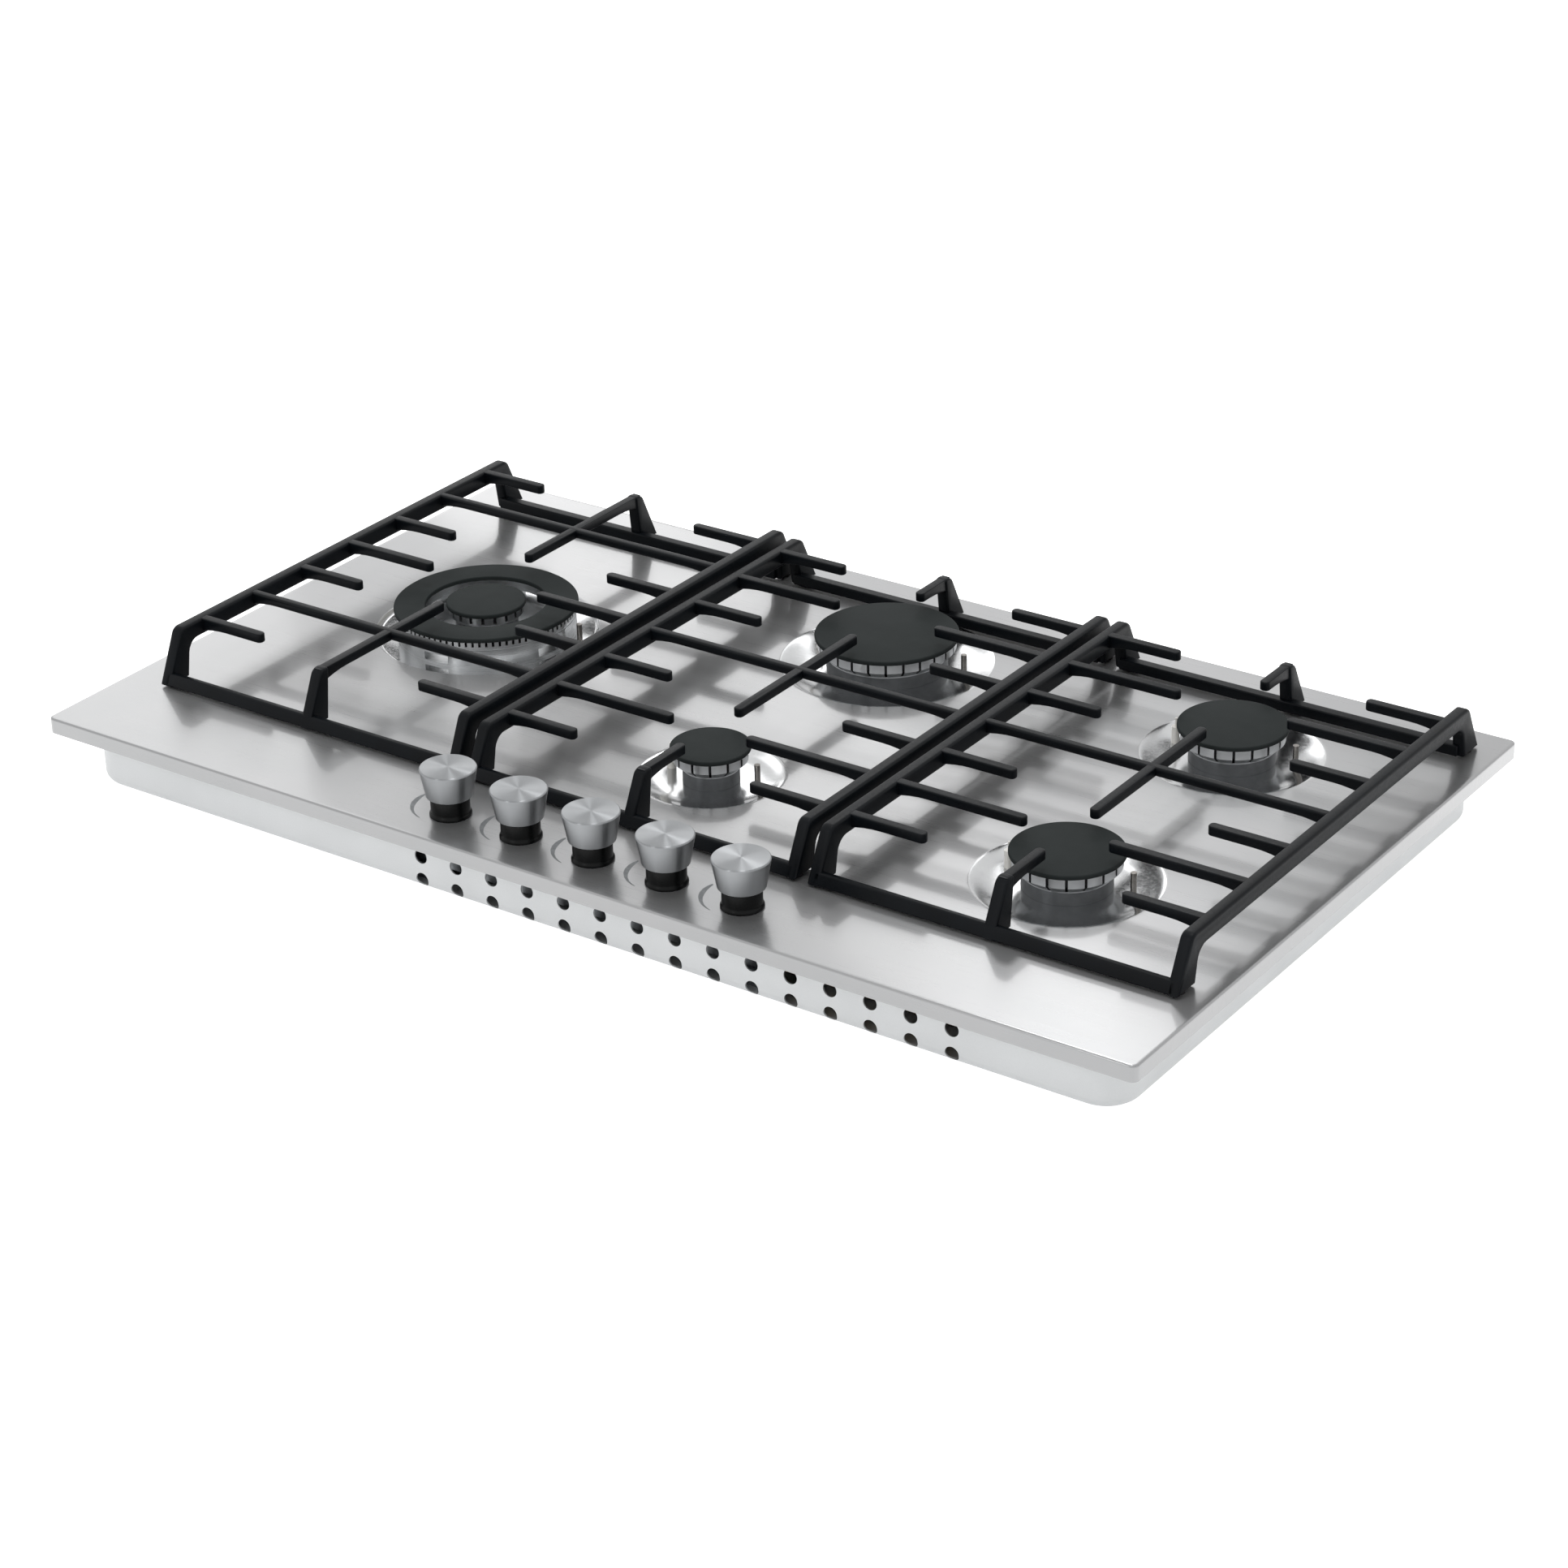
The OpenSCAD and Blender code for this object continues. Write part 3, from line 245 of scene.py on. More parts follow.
# Galvanised and painted sheet of the tray: pale, even, with a soft satin sheen
TRAY_STEEL = Finish("coated_tray_sheet", "#d0d2d3", "#d6d8d9", 0.25, 0.4, 0.05, 1.2, 0.004, 45)
# Cast iron under matt vitreous enamel: nearly black, slightly orange-peeled, tops catch a soft grey sheen
CAST_IRON = Finish("matt_enamelled_cast_iron", "#07090c", "#0b0f13", 0.0, 0.4, 0.05, 1.4, 0.025, 22, specular=0.12)
# Pressed steel cap under matt enamel: flat dark grey with a fine even grain
CAP_ENAMEL = Finish(
    "matt_enamelled_burner_cap", "#222626", "#262a2a", 0.0, 0.68, 0.04, 0.5, 0.008, 18, specular=0.1,
)
# Die-cast aluminium of the flame rings: bright, turned outside, with faint rings
BURNER_ALLOY = Finish(
    "turned_cast_aluminium", "#b4b6b8", "#c8cacb", 1.0, 0.3, 0.05, 0.4, 0.004, 14,
    pattern=Pattern.TURNED, anisotropic=0.4,
)
# The same alloy inside the flame rings, painted nearly black as the shade that fills the slots: it shows only
# between them
SLOT_SHADE_ALLOY = Finish("slot_core_painted_shade", "#1d1e20", "#2a2b2d", 0.6, 0.45, 0.07, 0.8, 0.02, 9)
# The same alloy as it leaves the mould, on the cups under the flame rings: rough grey metal, darkened further to
# mid grey as painted shade under the flame rings
CUP_ALLOY_PAINTED_SHADE = Finish("die_cast_aluminium_painted_shade", "#5d5f61", "#696b6d", 0.9, 0.48, 0.05, 0.8, 0.01, 10)
# Aluminium knob turned on a lathe and clear anodised: spun wedges of light on its top
KNOB_METAL = Finish(
    "spun_anodised_aluminium", "#8d8f91", "#96989a", 1.0, 0.34, 0.02, 0.25, 0.0008, 20,
    pattern=Pattern.TURNED, anisotropic=0.95,
)
# Moulded black nylon of the collars: deep black with a dull gloss
COLLAR_NYLON = Finish("moulded_black_nylon", "#030404", "#060707", 0.0, 0.3, 0.05, 0.4, 0.01, 8, specular=0.15)
# Silicone rubber of the feet: black and dead matt
FOOT_RUBBER = Finish("black_silicone_rubber", "#101010", "#171717", 0.0, 0.75, 0.06, 0.5, 0.02, 5, specular=0.3)
# Closed-cell foam strip under the rim: dark grey, with fine cells
GASKET_FOAM = Finish("closed_cell_foam", "#4a4c4e", "#3c3e40", 0.0, 0.85, 0.08, 0.7, 0.12, 12, specular=0.25)
# Alumina of the spark plugs under clear glaze: white and glossy
CERAMIC = Finish("glazed_alumina", "#dcdad4", "#e6e4df", 0.0, 0.22, 0.04, 1.5, 0.003, 9, coat=0.4)
# Nickel-plated probe: grey metal, dulled by heat
PROBE_METAL = Finish("nickel_plated_probe", "#8e8b87", "#74716d", 1.0, 0.3, 0.06, 0.6, 0.004, 6)
# Drawn steel wire and rod: plain grey metal
DRAWN_STEEL = Finish("drawn_steel", "#9fa1a3", "#b1b3b5", 1.0, 0.3, 0.05, 0.4, 0.004, 10)
# Zinc-plated pressed steel: grey metal with cloudy patches
ZINC_STEEL = Finish("zinc_plated_steel", "#a9adb0", "#bcc0c3", 1.0, 0.36, 0.07, 3.0, 0.004, 6)
# Machined brass of plugs and injectors: yellow metal
BRASS = Finish("machined_brass", "#c9a35a", "#b78f48", 1.0, 0.26, 0.05, 0.4, 0.004, 8)
# Die-cast zinc alloy of the tap bodies: dull grey metal
TAP_ALLOY = Finish("die_cast_zinc_alloy", "#8f9294", "#a2a5a7", 1.0, 0.42, 0.06, 0.8, 0.012, 9)
# Extruded aluminium pipe: soft pale metal
PIPE_ALLOY = Finish("extruded_aluminium_tube", "#c4c6c8", "#b4b6b8", 1.0, 0.33, 0.05, 0.5, 0.004, 15)
# Moulded white ABS of the spark generator
WHITE_ABS = Finish("moulded_white_abs", "#e4e4e0", "#dcdcd8", 0.0, 0.4, 0.05, 0.5, 0.008, 14)
# Silicone-sleeved high-voltage lead: orange red and waxy
LEAD_SILICONE = Finish("silicone_sleeved_lead", "#b5482a", "#c2502f", 0.0, 0.5, 0.06, 0.6, 0.01, 12)
# Moulded grey nylon of the cable gland
GLAND_NYLON = Finish("moulded_grey_nylon", "#55585a", "#4b4e50", 0.0, 0.45, 0.05, 0.5, 0.01, 9)
# Screen-printed grey ink of the flame marks: thin and slightly broken
PRINT_INK = Finish("screen_printed_ink", "#5b5e60", "#6c6f71", 0.2, 0.5, 0.05, 0.4, 0.001, 3)


def link_piece(
    name: str,
    bm: Shape,
    finishes: Sequence[Finish],
    body: str,
    replaced: Iterable[str] = (),
    smooth_angle: float = 34.0,
) -> bpy.types.Object:
    """Turns a finished bmesh in millimetres into a piece that rides on a body.

    Args:
        name: The piece's name.
        bm: The shape, which is freed.
        finishes: The piece's finishes, in the order of its material numbers.
        body: The body that carries the piece.
        replaced: The CAD nodes that the piece stands for.
        smooth_angle: Faces that meet at less than this many degrees are shaded as one surface.

    Returns:
        The piece.
    """
    limit = math.radians(smooth_angle)
    for face in bm.faces:
        face.smooth = True
    for edge in bm.edges:
        edge.smooth = len(edge.link_faces) == 2 and edge.calc_face_angle(0.0) < limit
    bmesh.ops.scale(bm, vec=(MM, MM, MM), verts=bm.verts)
    mesh = bpy.data.meshes.new(name)
    bm.to_mesh(mesh)
    bm.free()
    for finish in finishes:
        mesh.materials.append(finish.material())
    piece = bpy.data.objects.new(name, mesh)
    bpy.context.scene.collection.objects.link(piece)
    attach(piece, body)
    if replaced:
        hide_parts(*replaced)
    log.info("%s: %d faces on %s", name, len(mesh.polygons), body)
    return piece


def round_off(
    bm: Shape, geom: Sequence[Any], radius: float, segments: int, affect: str = "EDGES"
) -> None:
    """Rounds some of a shape's edges or corners.

    Args:
        bm: The shape.
        geom: The edges or corners.
        radius: The radius that they get.
        segments: Steps in each rounding.
        affect: EDGES or VERTICES, as Blender's bevel names them.
    """
    bmesh.ops.bevel(
        bm, geom=list(geom), offset=radius, segments=segments, profile=0.5, affect=affect, clamp_overlap=True,
        material=-1,
    )


def join_in(target: Shape, part: Shape, move: Matrix = Matrix.Identity(4)) -> None:
    """Adds a moved copy of one bmesh to another and frees the first.

    Args:
        target: The shape that grows.
        part: The shape that is added.
        move: Where the added shape goes.
    """
    mesh = bpy.data.meshes.new("part")
    part.to_mesh(mesh)
    part.free()
    mesh.transform(move)
    target.from_mesh(mesh)
    bpy.data.meshes.remove(mesh)


def turn_move(x: float, y: float, z: float = 0.0, degrees: float = 0.0) -> Matrix:
    """Returns the move that turns a shape about Z and then sets it down at a place."""
    return Matrix.Translation((x, y, z)) @ Matrix.Rotation(math.radians(degrees), 4, "Z")


def outline_face(outline: Sequence[Point], rounds: dict[int, float], segments: int = 5) -> Shape:
    """Draws an outline in the XZ plane and rounds some of its corners.

    Args:
        outline: The corners in order.
        rounds: Corner number to the radius that it gets.
        segments: Steps in each rounded corner.

    Returns:
        A bmesh with one face.
    """
    bm = bmesh.new()
    corners = [bm.verts.new((x, 0, z)) for x, z in outline]
    bm.faces.new(corners)
    for number, radius in rounds.items():
        round_off(bm, [corners[number]], radius, segments, "VERTICES")
    return bm


def lathe(
    outline: Sequence[Point], rounds: dict[int, float] | None = None, steps: int = ROUND_STEPS
) -> Shape:
    """Turns a closed outline about the Z axis.

    Args:
        outline: Corners as radius and height. Corners on the axis have a radius of zero.
        rounds: Corner number to the radius that it gets.
        steps: Steps in the full turn.

    Returns:
        The turned solid.
    """
    bm = outline_face(outline, rounds or {}, 4)
    bmesh.ops.delete(bm, geom=list(bm.faces), context="FACES_ONLY")
    on_axis = [e for e in bm.edges if all(v.co.x < 1e-6 for v in e.verts)]
    bmesh.ops.delete(bm, geom=on_axis, context="EDGES")
    bmesh.ops.spin(
        bm, geom=list(bm.verts) + list(bm.edges), cent=(0, 0, 0), axis=(0, 0, 1), dvec=(0, 0, 0),
        angle=math.tau, steps=steps, use_merge=True, use_normal_flip=False, use_duplicate=False,
    )
    bmesh.ops.remove_doubles(bm, verts=list(bm.verts), dist=1e-4)
    bmesh.ops.recalc_face_normals(bm, faces=list(bm.faces))
    return bm


def teeth(outline: Sequence[Point], count: int, gap_w: float) -> Shape:
    """Makes a ring of upright teeth with gaps between them.

    Args:
        outline: Section of a tooth as radius and height.
        count: How many teeth there are.
        gap_w: Width of the gap between two teeth.

    Returns:
        The teeth about the Z axis.
    """
    gap = gap_w / max(r for r, _ in outline)
    bm = bmesh.new()
    for k in range(count):
        part = outline_face(outline, {})
        bmesh.ops.spin(
            part, geom=list(part.faces), cent=(0, 0, 0), axis=(0, 0, 1), dvec=(0, 0, 0),
            angle=math.tau / count - gap, steps=4, use_merge=False, use_normal_flip=False, use_duplicate=False,
        )
        bmesh.ops.recalc_face_normals(part, faces=list(part.faces))
        join_in(bm, part, Matrix.Rotation(k * math.tau / count + gap / 2, 4, "Z"))
    return bm


def add_core(bm: Shape, outline: Sequence[Point]) -> None:
    """Adds a turned core in the piece's second finish, painted dark as the shade that shows between the teeth.

    Args:
        bm: The shape that gets the core.
        outline: The core's section as radius and height.
    """
    core = lathe(outline)
    for face in core.faces:
        face.material_index = 1
    join_in(bm, core)


def lathe_uv(bm: Shape, centre: Point = (0.0, 0.0), top_share: float = 0.6) -> None:
    """Writes the grain map of a turned piece: U runs out from the axis or up its side, V round it.

    Args:
        bm: The turned shape, in millimetres.
        centre: Where its axis stands.
        top_share: Faces whose normal rises more than this count as a top.
    """
    layer = bm.loops.layers.uv.get(UV_GRAIN) or bm.loops.layers.uv.new(UV_GRAIN)
    for face in bm.faces:
        middle = face.calc_center_median()
        mean = math.atan2(middle.y - centre[1], middle.x - centre[0])
        level = abs(face.normal.z) > top_share
        for loop in face.loops:
            x = loop.vert.co.x - centre[0]
            y = loop.vert.co.y - centre[1]
            radius = math.hypot(x, y)
            angle = math.atan2(y, x) if radius > 1e-6 else mean
            angle += math.tau * round((mean - angle) / math.tau)
            loop[layer].uv = ((radius if level else loop.vert.co.z) * MM, angle * V_PER_RADIAN)


def bar(
    outline: Sequence[Point], rounds: dict[int, float], width: float, edge_round: float, tip_round: float = 0.0
) -> Shape:
    """Makes a cast bar: an outline in the XZ plane, drawn out sideways, with rounded edges.

    Args:
        outline: The corners seen from the side.
        rounds: Corner number to the radius that it gets.
        width: Thickness of the bar along Y.
        edge_round: Radius along the outline's edges.
        tip_round: Radius of the upright edges at the far end.

    Returns:
        The bar, centred on Y.
    """
    bm = outline_face(outline, rounds)
    bmesh.ops.translate(bm, vec=(0, -width / 2, 0), verts=bm.verts)
    grown = bmesh.ops.extrude_face_region(bm, geom=list(bm.faces))
    bmesh.ops.translate(
        bm, vec=(0, width, 0), verts=[g for g in grown["geom"] if isinstance(g, bmesh.types.BMVert)]
    )
    bmesh.ops.recalc_face_normals(bm, faces=list(bm.faces))
    if tip_round:
        far = max(v.co.x for v in bm.verts)
        upright = [
            e
            for e in bm.edges
            if all(v.co.x > far - 1e-4 for v in e.verts) and abs(e.verts[0].co.z - e.verts[1].co.z) > 1e-4
        ]
        round_off(bm, upright, tip_round, 6)
    sides = [f for f in bm.faces if abs(f.normal.y) > 0.999]
    border = {e for f in sides for e in f.edges if any(abs(n.normal.y) < 0.999 for n in e.link_faces)}
    if tip_round:
        # The sharp edges that the tip's own rounding left
        near_tip = (e for e in bm.edges if max(v.co.x for v in e.verts) > far - width)
        border |= {e for e in near_tip if len(e.link_faces) == 2 and e.calc_face_angle(0.0) > 1.0}
    round_off(bm, border, edge_round, 3)
    bmesh.ops.remove_doubles(bm, verts=list(bm.verts), dist=1e-4)
    return bm


def smoothed_copy(node: str, weld: float = 2e-3, flat_angle: float = 0.4) -> Shape:
    """Copies a CAD node's mesh, merges its loose triangles and joins its flat ones.

    Args:
        node: The node's name.
        weld: Corners that lie nearer than this are one.
        flat_angle: Faces that meet at less than this many degrees are one.

    Returns:
        The copy, in millimetres.
    """
    bm = bmesh.new()
    bm.from_mesh(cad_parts[node].data)
    bmesh.ops.scale(bm, vec=(1 / MM,) * 3, verts=bm.verts)
    bmesh.ops.remove_doubles(bm, verts=list(bm.verts), dist=weld)
    bmesh.ops.dissolve_limit(
        bm, angle_limit=math.radians(flat_angle), use_dissolve_boundaries=False, verts=list(bm.verts),
        edges=list(bm.edges),
    )
    return bm


@dataclass(frozen=True)
class Layout:
    """Places that several sub-assemblies share, in millimetres."""

    left_x: float = -266.0
    centre_x: float = 7.0
    right_x: float = 280.0
    middle_y: float = 28.5
    spread: float = 105.0
    knob_y: float = -213.0
    knob_xs: tuple[float, ...] = (-103.0, -45.0, 13.0, 71.0, 129.0)

    @property
    def wok(self) -> Point:
        """Place of the wok burner."""
        return (self.left_x, self.middle_y)

    @property
    def rapid(self) -> Point:
        """Place of the rapid burner."""
        return (self.centre_x, self.middle_y + self.spread)

    @property
    def auxiliary(self) -> Point:
        """Place of the auxiliary burner."""
        return (self.centre_x, self.middle_y - self.spread)

    @property
    def semi_rear(self) -> Point:
        """Place of the rear semi-rapid burner."""
        return (self.right_x, self.middle_y + self.spread)

    @property
    def semi_front(self) -> Point:
        """Place of the front semi-rapid burner."""
        return (self.right_x, self.middle_y - self.spread)


LAYOUT = Layout()


@dataclass
class TopPlate:
    """The brushed plate with its pressed dishes, its turned-down rim and the printed marks at the knobs."""

    width: float = 860.0
    depth: float = 500.0
    sheet: float = 1.0
    rim: float = 11.0
    bend: float = 1.4
    corner: float = 5.0
    least_corner: float = 0.8
    corner_steps: int = 6
    bend_steps: int = 5
    below_bend: float = 0.8
    press: float = 3.0
    lip: float = 1.5
    shaft_hole: float = 4.3
    shaft_steps: int = 24
    press_steps: int = 12
    mark_lift: float = 0.04
    # Each dish: its place, the radius of its lip, of its flat floor and of the hole in the floor
    dishes: tuple[tuple[Point, float, float, float], ...] = (
        (LAYOUT.wok, 80.5, 76.5, 23.1),
        (LAYOUT.rapid, 75.0, 52.0, 42.6),
        (LAYOUT.auxiliary, 49.5, 30.0, 19.1),
        (LAYOUT.semi_rear, 61.5, 40.0, 29.1),
        (LAYOUT.semi_front, 61.5, 40.0, 29.1),
    )

    def rounded_loop(self, bm: Shape, inset: float, z: float) -> Edges:
        """Draws the plate's outline, drawn in by an inset, at a level.

        Args:
            bm: The shape that gets the outline.
            inset: How far the outline lies inside the plate's size.
            z: Its level.

        Returns:
            The outline's edges.
        """
        half_w = self.width / 2 - inset
        half_d = self.depth / 2 - inset
        corners = [
            bm.verts.new((sx * half_w, sy * half_d, z)) for sx, sy in ((-1, -1), (1, -1), (1, 1), (-1, 1))
        ]
        bm.faces.new(corners)
        round_off(bm, corners, max(self.corner - inset, self.least_corner), self.corner_steps, "VERTICES")
        count = 4 * (self.corner_steps + 1)
        face = next(f for f in bm.faces if len(f.verts) == count and abs(f.calc_center_median().z - z) < 1e-3)
        edges = list(face.edges)
        bmesh.ops.delete(bm, geom=[face], context="FACES_ONLY")
        return edges

    def circle(self, bm: Shape, at: Point, radius: float, steps: int) -> Edges:
        """Draws a circle on the plate's top.

        Args:
            bm: The shape that gets the circle.
            at: Its centre.
            radius: Its radius.
            steps: Number of its edges.

        Returns:
            Its edges.
        """
        made = bmesh.ops.create_circle(
            bm, cap_ends=False, segments=steps, radius=radius, matrix=turn_move(*at, HEIGHT)
        )
        return list({e for v in made["verts"] for e in v.link_edges})

    def step_in(
        self, bm: Shape, edges: Edges, at: Point, radius: float, z: float,
        material: int = 0,
    ) -> Edges:
        """Draws a circle out to its next radius and level.

        Args:
            bm: The shape that grows.
            edges: The circle's edges.
            at: The circle's centre.
            radius: The next radius.
            z: The next level.
            material: Material number of the new faces.

        Returns:
            The edges of the new circle.
        """
        grown = bmesh.ops.extrude_edge_only(bm, edges=edges)["geom"]
        verts = [g for g in grown if isinstance(g, bmesh.types.BMVert)]
        now = math.hypot(verts[0].co.x - at[0], verts[0].co.y - at[1])
        share = radius / now
        bmesh.ops.scale(bm, vec=(share, share, 1), verts=verts, space=Matrix.Translation((-at[0], -at[1], 0)))
        bmesh.ops.translate(bm, vec=(0, 0, z - verts[0].co.z), verts=verts)
        for face in (g for g in grown if isinstance(g, bmesh.types.BMFace)):
            face.material_index = material
        return [g for g in grown if isinstance(g, bmesh.types.BMEdge)]

    def press_dish(
        self, bm: Shape, edges: Edges, at: Point, lip: float, floor: float,
        hole: float,
    ) -> None:
        """Presses one dish from its lip down to its floor and in to its hole.

        Args:
            bm: The plate.
            edges: The circle outside the lip.
            at: The dish's centre.
            lip: Radius of its lip.
            floor: Radius of its floor.
            hole: Radius of the hole in its floor.
        """
        edges = self.step_in(bm, edges, at, lip, HEIGHT)
        for k in range(1, self.press_steps + 1):
            share = k / self.press_steps
            # Steeper at the lip than at the floor, as sheet bends over the press ring
            fall = share * (2 - share) * (1 - 0.5 * (1 - share) ** 4)
            edges = self.step_in(bm, edges, at, lip - (lip - floor) * share, HEIGHT - self.press * fall, 1)
        edges = self.step_in(bm, edges, at, floor - self.lip, HEIGHT - self.press, 1)
        self.step_in(bm, edges, at, hole, HEIGHT - self.press, 1)

    def make(self) -> None:
        """Builds the plate as one sheet and gives it its thickness."""
        bm = bmesh.new()
        flat = self.rounded_loop(bm, self.bend + self.lip, HEIGHT)
        rings = [
            (self.circle(bm, at, lip + self.lip, ROUND_STEPS), at, lip, *rest) for at, lip, *rest in self.dishes
        ]
        shafts = [
            self.circle(bm, (x, LAYOUT.knob_y), self.shaft_hole, self.shaft_steps) for x in LAYOUT.knob_xs
        ]
        drawn = flat + [e for ring in rings for e in ring[0]] + [e for shaft in shafts for e in shaft]
        bmesh.ops.triangle_fill(bm, use_beauty=True, use_dissolve=False, edges=drawn, normal=(0, 0, 1))
        for ring in rings:
            self.press_dish(bm, *ring)
        self.turn_rim(bm, flat)
        bmesh.ops.remove_doubles(bm, verts=list(bm.verts), dist=1e-4)
        bmesh.ops.recalc_face_normals(bm, faces=list(bm.faces))
        if sum(f.calc_area() * f.normal.z for f in bm.faces) < 0:
            bmesh.ops.reverse_faces(bm, faces=list(bm.faces))
        self.grain_map(bm)
        plate = link_piece(
            "plate_sheet", bm, [PLATE_STEEL, DISH_STEEL], ROOT_BODY, ["top_plate"],
            smooth_angle=24,
        )
        wall = plate.modifiers.new("sheet", "SOLIDIFY")
        wall.thickness = self.sheet * MM
        wall.offset = -1.0
        wall.use_even_offset = True

    def turn_rim(self, bm: Shape, flat: Edges) -> None:
        """Turns the plate's edge down round a small bend.

        Args:
            bm: The plate.
            flat: The outline's edges where the bend begins.
        """
        turns = [(self.bend, HEIGHT)]
        for k in range(1, self.bend_steps + 1):
            angle = math.radians(90 * k / self.bend_steps)
            turns.append((self.bend * (1 - math.sin(angle)), HEIGHT - self.bend * (1 - math.cos(angle))))
        turns += [(0.0, HEIGHT - self.bend - self.below_bend), (0.0, HEIGHT - self.rim)]
        for inset, z in turns:
            lower = self.rounded_loop(bm, inset, z)
            bmesh.ops.bridge_loops(bm, edges=flat + lower)
            flat = lower

    def grain_map(self, bm: Shape) -> None:
        """Writes the plate's grain map: U runs across the brush lines, V along them.

        Args:
            bm: The plate.
        """
        layer = bm.loops.layers.uv.new(UV_GRAIN)
        for face in bm.faces:
            for corner in face.loops:
                across = corner.vert.co.y if abs(face.normal.y) < 0.7 else corner.vert.co.z
                along = corner.vert.co.x if abs(face.normal.x) < 0.7 else corner.vert.co.z
                corner[layer].uv = (across * MM, along * MM)

    def make_marks(self) -> None:
        """Prints the tapered flame mark beside each knob."""
        bm = bmesh.new()
        # Bearing from the knob, middle radius and width of the stroke
        strokes = ((158, 34.2, 1.2), (164, 33.4, 2.6), (172, 32.2, 3.6), (181, 30.6, 3.8), (190, 28.9, 3.2),
                   (200, 26.8, 2.4), (210, 24.6, 1.7), (220, 22.4, 1.1), (229, 20.6, 0.6))
        z = HEIGHT + self.mark_lift
        for x in LAYOUT.knob_xs:
            pairs = []
            for bearing, radius, width in strokes:
                turn = math.radians(bearing)
                pairs.append([
                    bm.verts.new((x + r * math.cos(turn), LAYOUT.knob_y + r * math.sin(turn), z))
                    for r in (radius - width / 2, radius + width / 2)
                ])
            for (a, b), (c, d) in zip(pairs, pairs[1:]):
                bm.faces.new((a, b, d, c))
        bmesh.ops.recalc_face_normals(bm, faces=list(bm.faces))
        for face in bm.faces:
            if face.normal.z < 0:
                face.normal_flip()
        link_piece("flame_marks", bm, [PRINT_INK], ROOT_BODY)


@dataclass(frozen=True)
class SmoothPart:
    """A part whose shape is a CAD node's and which only gets smooth sides and its finish."""

    piece: str
    node: str
    finish: Finish
    slot: str
    turned_at: Point | None = None

    def make(self) -> None:
        """Dresses the part."""
        bm = smoothed_copy(self.node)
        if self.turned_at:
            lathe_uv(bm, self.turned_at)
        link_piece(self.piece, bm, [self.finish], ROOT_BODY, [self.node], smooth_angle=30)


class Cooks(Enum):
    """What a pan support stands over."""

    WOK = "one large burner in the middle"
    TWIN = "a front and a rear burner"


